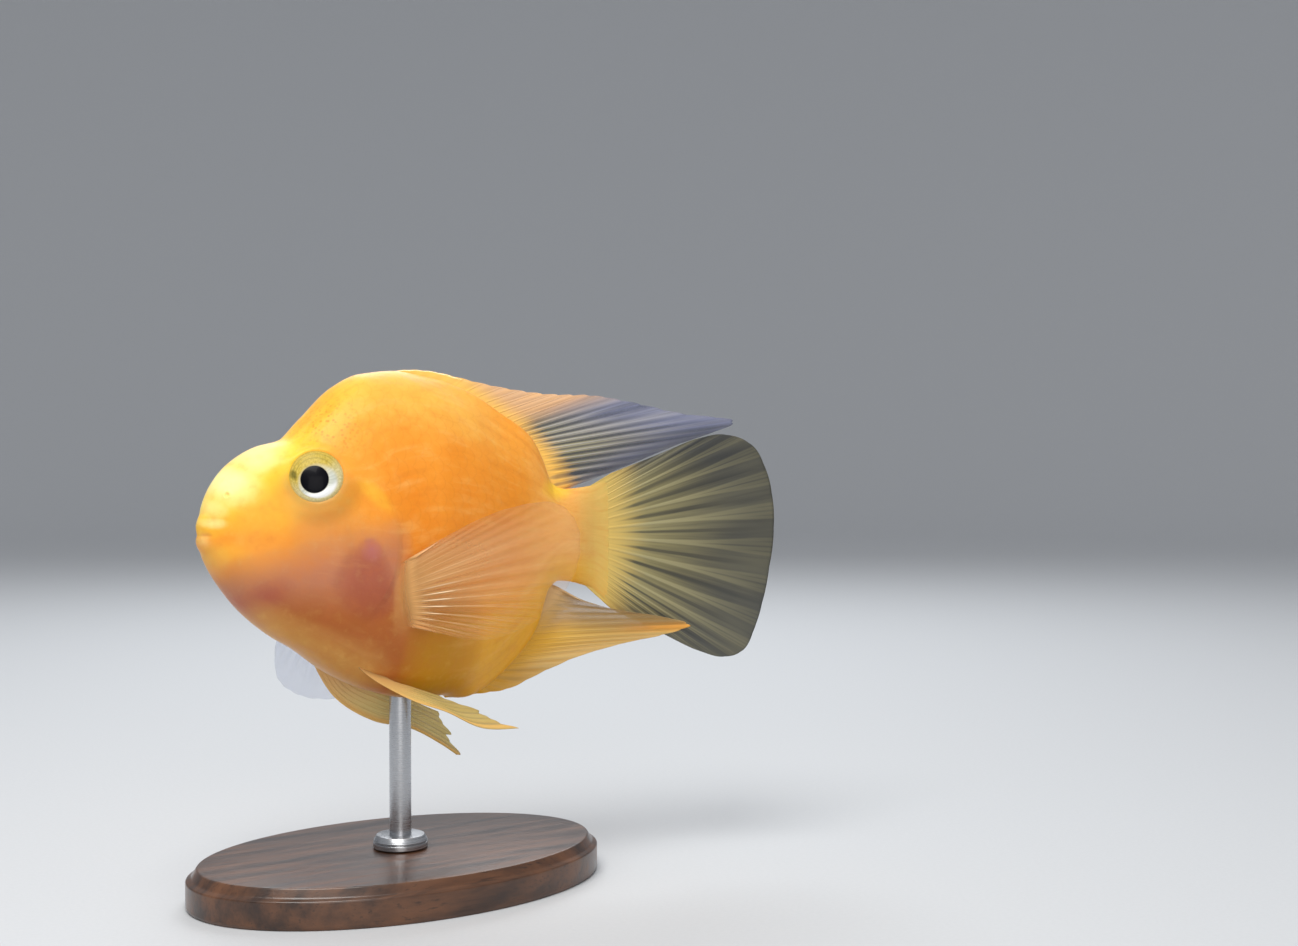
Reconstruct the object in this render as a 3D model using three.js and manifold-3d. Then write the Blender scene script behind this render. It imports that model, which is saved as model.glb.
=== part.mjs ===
// A life-size model of a blood parrot cichlid on a plain display stand, in millimetres.
// The fish swims towards -X with its left side towards -Y and +Z up. The origin is the middle of
// the base's underside. "Station" is the distance along the fish from the tip of its snout.
import * as THREE from "three";
import { mergeVertices } from "three/addons/utils/BufferGeometryUtils.js";
import Module from "manifold-3d";

const wasm = await Module();
wasm.setup();

// Driving dimensions
const GAP = 0.3; // between pieces that touch
const SNOUT_X = -50; // where the tip of the snout is
const BODY_LENGTH = 100; // snout to the end of the flesh on the tail fin
const TAIL_CUT = 91; // station where the trunk ends and the tail's stalk begins
const BEND_START = 42; // station where the body starts to bend towards the left side
const BEND_END = 112; // station where the bend ends, inside the tail fin
const BEND = THREE.MathUtils.degToRad(17);
const BEND_RADIUS = (BEND_END - BEND_START) / BEND;

// The outline from the side, as [station, height] and the half width, as [station, half width]
const BACK_LINE = [[0, 85.5], [1.2, 92], [3.6, 97], [8, 101.8], [14.5, 105.4], [20.8, 107], [26.5, 112.4],
  [33.5, 119.2], [40, 122.3], [48, 123.3], [57, 121.6], [66, 117.2], [75, 111.4], [82, 106.6],
  [86.5, 101], [89.6, 96], [94, 94.4], [100, 95]];
const BELLY_LINE = [[0, 85.5], [1.4, 80.5], [4.8, 74.5], [11, 67], [18, 61.4], [23, 58.4], [32, 51.9], [42, 47.3],
  [52, 45], [62, 44.9], [70, 47.6], [78, 53.6], [84.5, 61.6], [88.5, 69.6], [92, 71.4], [100, 69.6]];
const HALF_WIDTH = [[0, 0], [1.5, 4.2], [5, 7.6], [12, 11.2], [21, 14], [31, 16.8], [42, 18.4], [52, 18.3],
  [64, 15.9], [76, 11.3], [86, 6.6], [94, 4.1], [100, 1.3]];
const WIDEST_LINE = [[0, 85.5], [8, 83], [22, 80], [42, 81], [70, 82.5], [100, 82.4]];
const UPPER_ROUNDNESS = [[0, 2], [8, 2.5], [22, 2.6], [34, 2.1], [60, 1.9], [100, 2]];
const LOWER_ROUNDNESS = [[0, 2], [10, 2.2], [40, 2.3], [70, 2.1], [100, 2]];
const BODY_RINGS = 46;
const BODY_SIDES = 44;

// A smooth line through the points, without overshoot. It starts steeply where the snout is round.
function lineThrough(points) {
  const at = points.map(([station]) => Math.sqrt(station));
  const value = points.map(([, height]) => height);
  const slope = at.slice(1).map((x, i) => (value[i + 1] - value[i]) / (x - at[i]));
  const tangent = at.map((_, i) => {
    if (i === 0 || i === at.length - 1) return slope[Math.min(i, slope.length - 1)];
    if (slope[i - 1] * slope[i] <= 0) return 0;
    const before = at[i] - at[i - 1];
    const after = at[i + 1] - at[i];
    const first = 2 * after + before;
    const second = after + 2 * before;
    return (first + second) / (first / slope[i - 1] + second / slope[i]);
  });
  return (station) => {
    const x = Math.sqrt(Math.max(0, station));
    let i = 0;
    while (i < at.length - 2 && x > at[i + 1]) i++;
    const step = at[i + 1] - at[i];
    const t = Math.min(1, Math.max(0, (x - at[i]) / step));
    return value[i] * (2 * t ** 3 - 3 * t ** 2 + 1) + step * tangent[i] * (t ** 3 - 2 * t ** 2 + t)
      + value[i + 1] * (3 * t ** 2 - 2 * t ** 3) + step * tangent[i + 1] * (t ** 3 - t ** 2);
  };
}

const back = lineThrough(BACK_LINE);
const belly = lineThrough(BELLY_LINE);
const halfWidth = lineThrough(HALF_WIDTH);
const widest = lineThrough(WIDEST_LINE);
const upperRoundness = lineThrough(UPPER_ROUNDNESS);
const lowerRoundness = lineThrough(LOWER_ROUNDNESS);

// The point at a station, a height and a distance towards the fish's right, on its bent middle plane
function place(station, height, right = 0) {
  const turned = Math.min(Math.max(0, station - BEND_START) / BEND_RADIUS, BEND);
  const past = Math.max(0, station - BEND_END);
  const along = Math.min(station, BEND_START);
  return new THREE.Vector3(
    SNOUT_X + along + BEND_RADIUS * Math.sin(turned) + past * Math.cos(turned) + right * Math.sin(turned),
    -BEND_RADIUS * (1 - Math.cos(turned)) - past * Math.sin(turned) + right * Math.cos(turned),
    height,
  );
}

// A point of the body's surface. The angle runs from the right side over the back.
function bodyPoint(station, angle) {
  const up = Math.sin(angle);
  const across = Math.cos(angle);
  const power = 2 / (up >= 0 ? upperRoundness(station) : lowerRoundness(station));
  const reach = up >= 0 ? back(station) - widest(station) : widest(station) - belly(station);
  return place(
    station,
    widest(station) + Math.sign(up) * reach * Math.abs(up) ** power,
    Math.sign(across) * halfWidth(station) * Math.abs(across) ** power,
  );
}

// The surface point at a station and a height, on the right side (1) or the left (-1)
function flankPoint(station, height, side) {
  const above = height >= widest(station);
  const power = above ? upperRoundness(station) : lowerRoundness(station);
  const reach = above ? back(station) - widest(station) : widest(station) - belly(station);
  const share = Math.min(1, Math.abs(height - widest(station)) / reach);
  return place(station, height, side * halfWidth(station) * (1 - share ** power) ** (1 / power));
}

// The station where the snout's surface passes a height and a distance towards the right
function snoutStation(right, height) {
  let outside = 0;
  let inside = 30;
  for (let i = 0; i < 24; i++) {
    const station = (outside + inside) / 2;
    const above = height >= widest(station);
    const power = above ? upperRoundness(station) : lowerRoundness(station);
    const reach = above ? back(station) - widest(station) : widest(station) - belly(station);
    const filled = Math.abs(right / halfWidth(station)) ** power
      + Math.abs((height - widest(station)) / reach) ** power;
    if (filled > 1) outside = station;
    else inside = station;
  }
  return inside;
}

// The direction straight out of the flank there
function flankNormal(station, height, side) {
  const step = 0.5;
  const along = flankPoint(station + step, height, side).sub(flankPoint(station - step, height, side));
  const up = flankPoint(station, height + step, side).sub(flankPoint(station, height - step, side));
  return along.cross(up).normalize().multiplyScalar(-side);
}

// Geometry and solids
function meshOf(points, triangles) {
  const made = new THREE.BufferGeometry();
  made.setAttribute("position", new THREE.Float32BufferAttribute(points.flatMap((p) => p.toArray()), 3));
  made.setIndex(triangles.flat());
  return made;
}

function solidOf(geometry) {
  const bare = geometry.clone();
  bare.deleteAttribute("normal");
  bare.deleteAttribute("uv");
  const merged = mergeVertices(bare, 1e-4);
  const made = new wasm.Manifold(new wasm.Mesh({
    numProp: 3,
    vertProperties: merged.getAttribute("position").array,
    triVerts: new Uint32Array(merged.index.array),
  }));
  return made;
}

// The largest closed body of a solid, so that no loose scrap stays after a cut
function largest(solid) {
  return solid.decompose().sort((a, b) => b.volume() - a.volume())[0];
}

function geometryOf(solid) {
  const mesh = solid.getMesh();
  const made = new THREE.BufferGeometry();
  made.setAttribute("position", new THREE.BufferAttribute(mesh.vertProperties, 3));
  made.setIndex(new THREE.BufferAttribute(mesh.triVerts, 1));
  made.computeVertexNormals();
  return made;
}

// A closed surface over rings of points, from a first point or ring to a last one
function skinOver(rings) {
  const sides = rings[0].length;
  const points = rings.flat();
  const triangles = [];
  for (let i = 0; i < rings.length - 1; i++) {
    for (let j = 0; j < sides; j++) {
      const a = i * sides + j;
      const b = i * sides + (j + 1) % sides;
      triangles.push([a, b, b + sides], [a, b + sides, a + sides]);
    }
  }
  const centre = (ring) => ring.reduce((sum, p) => sum.add(p), new THREE.Vector3()).divideScalar(sides);
  const first = points.push(centre(rings[0])) - 1;
  const last = points.push(centre(rings.at(-1))) - 1;
  const end = (rings.length - 1) * sides;
  for (let j = 0; j < sides; j++) {
    triangles.push([first, (j + 1) % sides, j], [last, end + j, end + (j + 1) % sides]);
  }
  return meshOf(points, triangles);
}

// A tube along a curve, with a radius that changes, and round ends
function taperedTube(curve, radiusAt, steps, sides) {
  const frames = curve.computeFrenetFrames(steps, false);
  const rings = [];
  for (let i = 0; i <= steps; i++) {
    const middle = curve.getPointAt(i / steps);
    rings.push(Array.from({ length: sides }, (_, j) => {
      const turn = (2 * Math.PI * j) / sides;
      const out = frames.normals[i].clone().multiplyScalar(Math.cos(turn))
        .add(frames.binormals[i].clone().multiplyScalar(Math.sin(turn)));
      return middle.clone().addScaledVector(out, radiusAt(i / steps));
    }));
  }
  return skinOver(rings);
}

// The gill cover's edge is part of a circle, seen from the side
const GILL_CENTRE = { station: 16.5, height: 83 };
const GILL_RADIUS = 23.7;
const GILL_LIFT = 0.9; // how far the edge stands proud of the trunk
const GILL_LIFT_WIDTH = 6;

function gillLift(station, height) {
  const along = station - GILL_CENTRE.station;
  const up = height - GILL_CENTRE.height;
  const inside = (GILL_RADIUS - Math.hypot(along, up)) / GILL_LIFT_WIDTH;
  const rearward = THREE.MathUtils.smoothstep(along / GILL_RADIUS, 0.15, 0.6);
  return GILL_LIFT * rearward * Math.exp(-inside * inside);
}

// The whole body, grown outwards by a distance, with or without the lift at the gill cover's edge
function bodySolid(grown, lifted) {
  const rings = [];
  for (let i = 1; i <= BODY_RINGS; i++) {
    const station = BODY_LENGTH * (i / BODY_RINGS) ** 1.35;
    rings.push(Array.from({ length: BODY_SIDES }, (_, j) => bodyPoint(station, (2 * Math.PI * j) / BODY_SIDES)));
  }
  const surface = skinOver(rings);
  surface.computeVertexNormals();
  const points = surface.getAttribute("position");
  const normals = surface.getAttribute("normal");
  for (let i = 0; i < points.count; i++) {
    const lift = lifted ? gillLift(points.getX(i) - SNOUT_X, points.getZ(i)) : 0;
    points.setXYZ(
      i,
      points.getX(i) + normals.getX(i) * (grown + lift),
      points.getY(i) + normals.getY(i) * (grown + lift),
      points.getZ(i) + normals.getZ(i) * (grown + lift),
    );
  }
  return solidOf(surface);
}

// Everything in front of the gill cover's edge, as a block across the fish
function headBlock(grown) {
  const radius = GILL_RADIUS + grown;
  const reach = 60;
  const x = SNOUT_X + GILL_CENTRE.station;
  const outline = new THREE.Shape();
  outline.moveTo(x - reach, GILL_CENTRE.height + reach);
  outline.lineTo(x - reach, GILL_CENTRE.height - reach);
  outline.lineTo(x, GILL_CENTRE.height - reach);
  outline.lineTo(x, GILL_CENTRE.height - radius);
  outline.absarc(x, GILL_CENTRE.height, radius, -Math.PI / 2, Math.PI / 2, false);
  outline.lineTo(x, GILL_CENTRE.height + reach);
  const block = new THREE.ExtrudeGeometry(outline, { depth: 2 * reach, bevelEnabled: false, curveSegments: 48 });
  block.rotateX(Math.PI / 2);
  block.translate(0, reach, 0);
  return solidOf(block);
}

// Everything behind a station
function tailBlock(station) {
  const reach = 100;
  const block = new THREE.BoxGeometry(reach, reach, reach);
  block.translate(reach / 2, 0, 0);
  const ahead = place(station, 80);
  const turned = (station - BEND_START) / BEND_RADIUS;
  block.rotateZ(-turned);
  block.translate(ahead.x, ahead.y, ahead.z);
  return solidOf(block);
}

const body = bodySolid(0, false);
const bodyGrown = bodySolid(GAP, false);
const headGrown = bodySolid(GAP, true).intersect(headBlock(GAP));
const clearOfFish = bodyGrown.add(headGrown);

// Eyes: flattened balls set in the head
const EYE = { station: 22.6, height: 98.7, radius: 7.5, depth: 3.7, sunk: 2.1 };
const ORBIT = { inner: 5.9, crest: 6.4, outer: 9, proud: 0.3, sunk: 2.2 }; // the raised skin round the eye

function eyePlacement(side) {
  const out = flankNormal(EYE.station, EYE.height, side);
  return {
    out,
    centre: flankPoint(EYE.station, EYE.height, side),
    turn: new THREE.Quaternion().setFromUnitVectors(new THREE.Vector3(0, 0, 1), out),
  };
}

function eyeball(side, grown) {
  const { out, centre, turn } = eyePlacement(side);
  const ball = new THREE.SphereGeometry(1, 24, 12);
  ball.rotateX(Math.PI / 2);
  ball.scale(EYE.radius + grown, EYE.radius + grown, EYE.depth + grown);
  ball.applyQuaternion(turn);
  ball.translate(...centre.addScaledVector(out, -EYE.sunk).toArray());
  return solidOf(ball);
}

function orbitRim(side) {
  const { centre, turn } = eyePlacement(side);
  const slope = (ORBIT.outer - ORBIT.crest) / 3;
  const low = -ORBIT.sunk - 1;
  const profile = [
    [ORBIT.inner - 0.6, low], [ORBIT.outer, low], [ORBIT.outer, -ORBIT.sunk],
    [ORBIT.crest + 2 * slope, -0.9], [ORBIT.crest + slope, -0.1], [ORBIT.crest, ORBIT.proud],
    [ORBIT.inner, ORBIT.proud], [ORBIT.inner - 0.6, 0], [ORBIT.inner - 0.6, low],
  ];
  const rim = new THREE.LatheGeometry(profile.map(([r, h]) => new THREE.Vector2(r, h)), 28);
  rim.rotateX(Math.PI / 2);
  rim.applyQuaternion(turn);
  rim.translate(...centre.toArray());
  return solidOf(rim);
}

// Mouth: two fleshy lips round a small opening
const MOUTH = { height: 85.3, halfWidth: 4.3, depth: 2.2, opening: 0.75 };
const UPPER_LIP = { height: 87.1, thickness: 1.25, sunk: 0.8 };
const LOWER_LIP = { height: 83.6, thickness: 1.2, sunk: 0.75 };

function lip({ height, thickness, sunk }) {
  const line = new THREE.CatmullRomCurve3([-1, -0.75, -0.4, 0, 0.4, 0.75, 1].map((share) => {
    const right = MOUTH.halfWidth * share;
    const here = height + (MOUTH.height - height) * share * share;
    return place(snoutStation(right, here) + sunk, here, right);
  }));
  const radiusAt = (t) => thickness * (0.4 + 0.6 * Math.sin(Math.PI * t));
  return solidOf(taperedTube(line, radiusAt, 16, 8));
}

function mouthOpening() {
  const gap = new THREE.SphereGeometry(1, 18, 10);
  gap.scale(MOUTH.depth, MOUTH.halfWidth * 0.85, MOUTH.opening);
  gap.translate(SNOUT_X, 0, MOUTH.height);
  return solidOf(gap);
}

// Nostrils: one on each side, a pit in a raised ring
const NOSTRIL = { station: 4.6, height: 94.8, radius: 0.95, rim: 0.42 };

function nostril(side) {
  const out = flankNormal(NOSTRIL.station, NOSTRIL.height, side);
  const centre = flankPoint(NOSTRIL.station, NOSTRIL.height, side);
  const turn = new THREE.Quaternion().setFromUnitVectors(new THREE.Vector3(0, 0, 1), out);
  const ring = new THREE.TorusGeometry(NOSTRIL.radius, NOSTRIL.rim, 6, 14);
  ring.applyQuaternion(turn);
  ring.translate(...centre.toArray());
  const pit = new THREE.SphereGeometry(NOSTRIL.radius * 0.8, 10, 8);
  pit.translate(...centre.toArray());
  return { ring: solidOf(ring), pit: solidOf(pit) };
}

function headSolid() {
  let head = bodySolid(0, true);
  for (const side of [-1, 1]) {
    const { ring, pit } = nostril(side);
    head = head.add(ring).subtract(pit).add(orbitRim(side)).subtract(eyeball(side, GAP));
  }
  head = head.add(lip(UPPER_LIP)).add(lip(LOWER_LIP)).subtract(mouthOpening());
  return largest(head.intersect(headBlock(0)));
}

function torsoSolid() {
  return largest(body.subtract(headBlock(GAP)).subtract(tailBlock(TAIL_CUT)));
}

function tailSolid() {
  return largest(body.intersect(tailBlock(TAIL_CUT + GAP)));
}

// Fins: a membrane with its rays raised on both faces. rayAt gives the middle of the sheet at a share
// across the fin and a share along its rays.
const MEMBRANE = 0.55;

function finSheet({ rays, rows, rayAt, ridge, root = 0, rootEnd = 0.25 }) {
  const columns = 2 * rays;
  const middle = [];
  for (let i = 0; i <= columns; i++) {
    middle.push(Array.from({ length: rows + 1 }, (_, j) => rayAt(i / columns, j / rows)));
  }
  const normalAt = (i, j) => {
    const across = middle[Math.min(i + 1, columns)][j].clone().sub(middle[Math.max(i - 1, 0)][j]);
    const along = middle[i][Math.min(j + 1, rows)].clone().sub(middle[i][Math.max(j - 1, 0)]);
    return across.cross(along).normalize();
  };
  const thickness = (i, j) => {
    const t = j / rows;
    const onRay = i % 2 === 1 ? ridge * (1 - 0.75 * t) : 0;
    const flesh = root * (1 - THREE.MathUtils.smoothstep(t, 0, rootEnd));
    return MEMBRANE + onRay + flesh;
  };
  const face = (sign) => middle.flatMap((column, i) => column.map((p, j) =>
    p.clone().addScaledVector(normalAt(i, j), (sign * thickness(i, j)) / 2)));
  const points = [...face(1), ...face(-1)];
  const other = points.length / 2;
  const at = (i, j) => i * (rows + 1) + j;
  const triangles = [];
  for (let i = 0; i < columns; i++) {
    for (let j = 0; j < rows; j++) {
      const corners = [at(i, j), at(i + 1, j), at(i + 1, j + 1), at(i, j + 1)];
      const [a, b, c, d] = corners;
      triangles.push([a, b, c], [a, c, d]);
      triangles.push([a + other, c + other, b + other], [a + other, d + other, c + other]);
    }
  }
  const rim = [];
  for (let i = 0; i < columns; i++) rim.push(at(i, 0));
  for (let j = 0; j < rows; j++) rim.push(at(columns, j));
  for (let i = columns; i > 0; i--) rim.push(at(i, rows));
  for (let j = rows; j > 0; j--) rim.push(at(0, j));
  rim.forEach((a, k) => {
    const b = rim[(k + 1) % rim.length];
    triangles.push([a, a + other, b + other], [a, b + other, b]);
  });
  return solidOf(meshOf(points, triangles));
}

// An even line through [station, height] points, for a fin's edge
function edgeThrough(points) {
  const curve = new THREE.CatmullRomCurve3(points.map(([s, h]) => new THREE.Vector3(s, h, 0)), false, "centripetal");
  return (share) => {
    const p = curve.getPoint(share);
    return [p.x, p.y];
  };
}

const SINK = 2.5; // how far a fin's root starts inside the body

// A fin in the fish's middle plane. sway moves a point towards the right side.
function middleFin({ rootAt, edge, shareOfEdge, sway, bow = 0, ...sheet }) {
  const edgeAt = edgeThrough(edge);
  return finSheet({
    ...sheet,
    rayAt: (u, t) => {
      const [rootStation, rootHeight] = rootAt(u);
      const [edgeStation, edgeHeight] = edgeAt(shareOfEdge(u));
      const bowed = 4 * bow * t * (1 - t);
      return place(
        rootStation + (edgeStation - rootStation) * t,
        rootHeight + (edgeHeight - rootHeight) * t + bowed,
        sway(u, t),
      );
    },
  });
}

const DORSAL = {
  rays: 20,
  rows: 7,
  ridge: 0.6,
  root: 1.6,
  edge: [[43.5, 122.5], [50, 124.4], [62, 122.9], [75, 120.2], [88, 118.1], [99, 118.1], [111, 116.4], [125, 113.5],
    [141, 111.5], [127, 109.6], [114, 104.6], [104, 99.9], [97.5, 97]],
  rootAt: (u) => {
    const station = 41 + 49.5 * u ** 0.82;
    return [station - 1, back(station) - SINK];
  },
  shareOfEdge: (u) => u,
  sway: (u, t) => 4.5 * u * t * t,
};

const ANAL = {
  rays: 16,
  rows: 6,
  ridge: 0.6,
  root: 1.6,
  edge: [[62, 44], [70, 44.4], [78, 45.2], [87, 48.8], [98, 52.8], [110, 55.5], [121, 57.4], [129, 59.8],
    [119, 61.8], [106, 64.1], [96, 66.6]],
  rootAt: (u) => {
    const station = 60 + 28.5 * u ** 0.9;
    return [station - 1, belly(station) + SINK];
  },
  shareOfEdge: (u) => u,
  sway: (u, t) => -6 * u * t * t,
};

const CAUDAL = {
  rays: 16,
  rows: 7,
  ridge: 0.7,
  root: 1.5,
  edge: [[106, 98.2], [118, 102.6], [129, 106.8], [137, 107.9], [144.5, 105], [149, 96.5], [150.5, 85], [149, 72],
    [146, 60], [142, 52], [136.5, 50.4], [129, 52.5], [117, 58.5], [106, 63.8]],
  rootAt: (u) => [BODY_LENGTH - SINK, 93.4 - 22 * u],
  shareOfEdge: (u) => u,
  sway: () => 0,
};

// A fin whose root follows the flank and whose blade lies flat. Its edge is drawn as [along, across]
// points from the middle of the root.
function bladeFin({ station, height, side, rootLength, ahead, across, edge, curl, ...sheet }) {
  const edgeAt = edgeThrough(edge);
  const along = ahead.clone().normalize();
  const facing = along.clone().cross(across).normalize();
  const spread = facing.clone().cross(along).normalize();
  const middle = flankPoint(station, height, side);
  return finSheet({
    ...sheet,
    rayAt: (u, t) => {
      const rootHeight = height + rootLength * (0.5 - u);
      const start = flankPoint(station, rootHeight, side)
        .addScaledVector(flankNormal(station, rootHeight, side), -SINK);
      const [endAlong, endAcross] = edgeAt(u);
      const end = middle.clone().addScaledVector(along, endAlong).addScaledVector(spread, endAcross);
      return start.lerp(end, t).addScaledVector(facing, curl * endAlong * t * t);
    },
  });
}

// A fin between its leading and trailing ray, both given as [station, height, right] points
function fanFin({ leading, trailing, ...sheet }) {
  const rayThrough = (points) => new THREE.CatmullRomCurve3(points.map((p) => new THREE.Vector3(...p)));
  const first = rayThrough(leading);
  const last = rayThrough(trailing);
  return finSheet({
    ...sheet,
    rayAt: (u, t) => {
      const p = first.getPointAt(t).lerp(last.getPointAt(t), u);
      return place(p.x, p.y, p.z);
    },
  });
}

const PECTORAL = {
  rays: 12,
  rows: 6,
  ridge: 0.5,
  root: 1.6,
  station: 40,
  height: 71.2,
  rootLength: 13,
  edge: [[4, 7.5], [16, 13.5], [29, 17], [39, 16.5], [43, 11], [42, 2], [37, -5], [28, -11], [17, -12.5], [6, -8.5]],
};
const PELVIC = { rays: 7, rows: 8, ridge: 0.5, root: 1.2 };

const fins = {
  fin_dorsal: middleFin(DORSAL),
  fin_anal: middleFin(ANAL),
  fin_caudal: middleFin(CAUDAL),
  fin_pectoral_left: bladeFin({
    ...PECTORAL,
    side: -1,
    ahead: new THREE.Vector3(0.93, -0.36, 0.12),
    across: new THREE.Vector3(0, 0, 1),
    curl: 0.1,
  }),
  fin_pectoral_right: bladeFin({
    ...PECTORAL,
    side: 1,
    ahead: new THREE.Vector3(0.31, 0.51, -0.8),
    across: new THREE.Vector3(-0.74, 0.66, 0.13),
    curl: 0.06,
  }),
  fin_pelvic_left: fanFin({
    ...PELVIC,
    leading: [[32.5, 57.5, -6.5], [37.5, 51.6, -11.5], [45.9, 46.6, -14.5], [55.2, 43.2, -15], [65.2, 38.6, -15],
      [78, 37.5, -14]],
    trailing: [[36, 56.5, -6.5], [40.8, 51.5, -10.5], [47, 48.7, -11.2], [54.5, 45.8, -11]],
  }),
  fin_pelvic_right: fanFin({
    ...PELVIC,
    leading: [[30, 57.5, 5], [33.4, 51.4, 7.5], [38.7, 44.3, 9], [47.4, 38.4, 9], [56.6, 35.8, 9], [63.9, 31.5, 8.5],
      [70.9, 26.2, 8]],
    trailing: [[36, 56.5, 5], [40, 50.4, 7.5], [48.5, 46, 8], [64.5, 38.3, 8]],
  }),
};

// Stand: an oval foot and one rod up to the belly
const BASE = { length: 104, width: 68, height: 9, chamfer: 1.6 };
const ROD = { radius: 2.6, station: 50 };
const COLLAR = { radius: 6.5, height: 3, edge: 0.8 }; // the ring that the rod stands in

function baseSolid() {
  const profile = [[0, 0], [1 - 0.02, 0], [1, 0.1], [1, 0.82], [0.97, 1], [0, 1]];
  const foot = new THREE.LatheGeometry(profile.map(([r, h]) => new THREE.Vector2(r, h)), 56);
  foot.rotateX(Math.PI / 2);
  foot.scale(BASE.length / 2, BASE.width / 2, BASE.height);
  return solidOf(foot);
}

function collarSolid() {
  const low = BASE.height + GAP;
  const bore = ROD.radius + GAP;
  const profile = [[bore, low], [COLLAR.radius, low], [COLLAR.radius, low + COLLAR.height - COLLAR.edge],
    [COLLAR.radius - COLLAR.edge, low + COLLAR.height], [bore, low + COLLAR.height], [bore, low]];
  const ring = new THREE.LatheGeometry(profile.map(([r, h]) => new THREE.Vector2(r, h)), 32);
  ring.rotateX(Math.PI / 2);
  const foot = place(ROD.station, 0);
  ring.translate(foot.x, foot.y, 0);
  return solidOf(ring);
}

function rodSolid() {
  const low = BASE.height + GAP;
  const high = belly(ROD.station) + 6;
  const rod = new THREE.CylinderGeometry(ROD.radius, ROD.radius, high - low, 24);
  rod.rotateX(Math.PI / 2);
  const foot = place(ROD.station, (low + high) / 2);
  rod.translate(foot.x, foot.y, foot.z);
  return largest(solidOf(rod).subtract(clearOfFish));
}

// Colours
const flesh = new THREE.MeshStandardMaterial({ color: 0xf5a531, roughness: 0.45, metalness: 0 });
const finColour = new THREE.MeshStandardMaterial({ color: 0xe8c069, roughness: 0.5, metalness: 0 });
const eyeColour = new THREE.MeshStandardMaterial({ color: 0xe6e2d2, roughness: 0.2, metalness: 0 });
const wood = new THREE.MeshStandardMaterial({ color: 0x4a3423, roughness: 0.5, metalness: 0 });
const steel = new THREE.MeshStandardMaterial({ color: 0xb8babd, roughness: 0.3, metalness: 1 });

const model = new THREE.Group();

function addPiece(name, solid, material) {
  const mesh = new THREE.Mesh(geometryOf(solid), material);
  mesh.name = name;
  model.add(mesh);
}

addPiece("head", headSolid(), flesh);
addPiece("torso", torsoSolid(), flesh);
addPiece("tail_stalk", tailSolid(), flesh);
addPiece("eye_left", eyeball(-1, 0), eyeColour);
addPiece("eye_right", eyeball(1, 0), eyeColour);
for (const [name, sheet] of Object.entries(fins)) {
  addPiece(name, largest(sheet.subtract(clearOfFish)), finColour);
}
addPiece("stand_base", baseSolid(), wood);
addPiece("stand_collar", collarSolid(), steel);
addPiece("stand_rod", rodSolid(), steel);

export default model;
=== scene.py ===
import math
import random

import bpy
import numpy as np
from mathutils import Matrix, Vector


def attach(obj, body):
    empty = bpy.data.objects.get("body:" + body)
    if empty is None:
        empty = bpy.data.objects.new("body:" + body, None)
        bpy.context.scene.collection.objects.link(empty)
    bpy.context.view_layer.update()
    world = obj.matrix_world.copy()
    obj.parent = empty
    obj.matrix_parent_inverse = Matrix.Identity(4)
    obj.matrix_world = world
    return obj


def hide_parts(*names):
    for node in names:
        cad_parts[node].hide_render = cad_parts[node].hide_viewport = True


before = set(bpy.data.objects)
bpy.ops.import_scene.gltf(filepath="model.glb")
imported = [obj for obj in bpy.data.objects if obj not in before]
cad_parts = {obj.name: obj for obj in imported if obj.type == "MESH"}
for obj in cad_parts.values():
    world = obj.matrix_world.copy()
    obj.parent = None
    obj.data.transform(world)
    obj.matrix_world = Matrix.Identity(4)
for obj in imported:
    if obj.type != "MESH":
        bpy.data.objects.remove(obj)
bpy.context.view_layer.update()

# Body: the head, trunk and tail stalk under one unbroken skin, shaped as rings along a bent middle line.
# The skin is flesh under small overlapping scales. It takes the place of the three solids of the body.
MM = 0.001
SNOUT_X = -50.0
BODY_LENGTH = 100.0
FLESH_END = 105.5
BEND_START = 42.0
BEND_END = 112.0
BEND = math.radians(17)
BEND_RADIUS = (BEND_END - BEND_START) / BEND
BACK_LINE = [(0, 85.5), (1.2, 92), (3.6, 97), (8, 101.8), (14.5, 105.4), (20.8, 107), (26.5, 112.4),
             (33.5, 119.3), (40, 122.3), (48, 123.0), (57, 121.4), (66, 117.2), (75, 111.4),
             (82, 106.6), (86.5, 101), (89.6, 96), (94, 94.4), (100, 95), (105.5, 97.6)]
BELLY_LINE = [(0, 85.5), (1.4, 80.5), (4.8, 74.5), (11, 67), (18, 61.4), (23, 58.4), (32, 51.9),
              (42, 47.3), (52, 45), (62, 44.9), (70, 47.6), (78, 53.6), (84.5, 61.6), (88.5, 69.6),
              (92, 71.4), (100, 69.6), (105.5, 65)]
HALF_WIDTH = [(0, 0), (1.5, 4.2), (5, 7.6), (12, 11.2), (21, 14), (31, 16.8), (42, 18.4), (52, 18.3),
              (64, 15.9), (76, 11.3), (86, 6.6), (94, 4.1), (98, 2.4), (102, 0.8), (105.5, 0.05)]
WIDEST_LINE = [(0, 85.5), (8, 83), (22, 80), (42, 81), (70, 82.5), (100, 82.4)]
UPPER_ROUNDNESS = [(0, 2), (8, 2.5), (22, 2.6), (34, 2.1), (60, 1.9), (100, 2)]
LOWER_ROUNDNESS = [(0, 2), (10, 2.2), (40, 2.3), (70, 2.1), (100, 2)]


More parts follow.
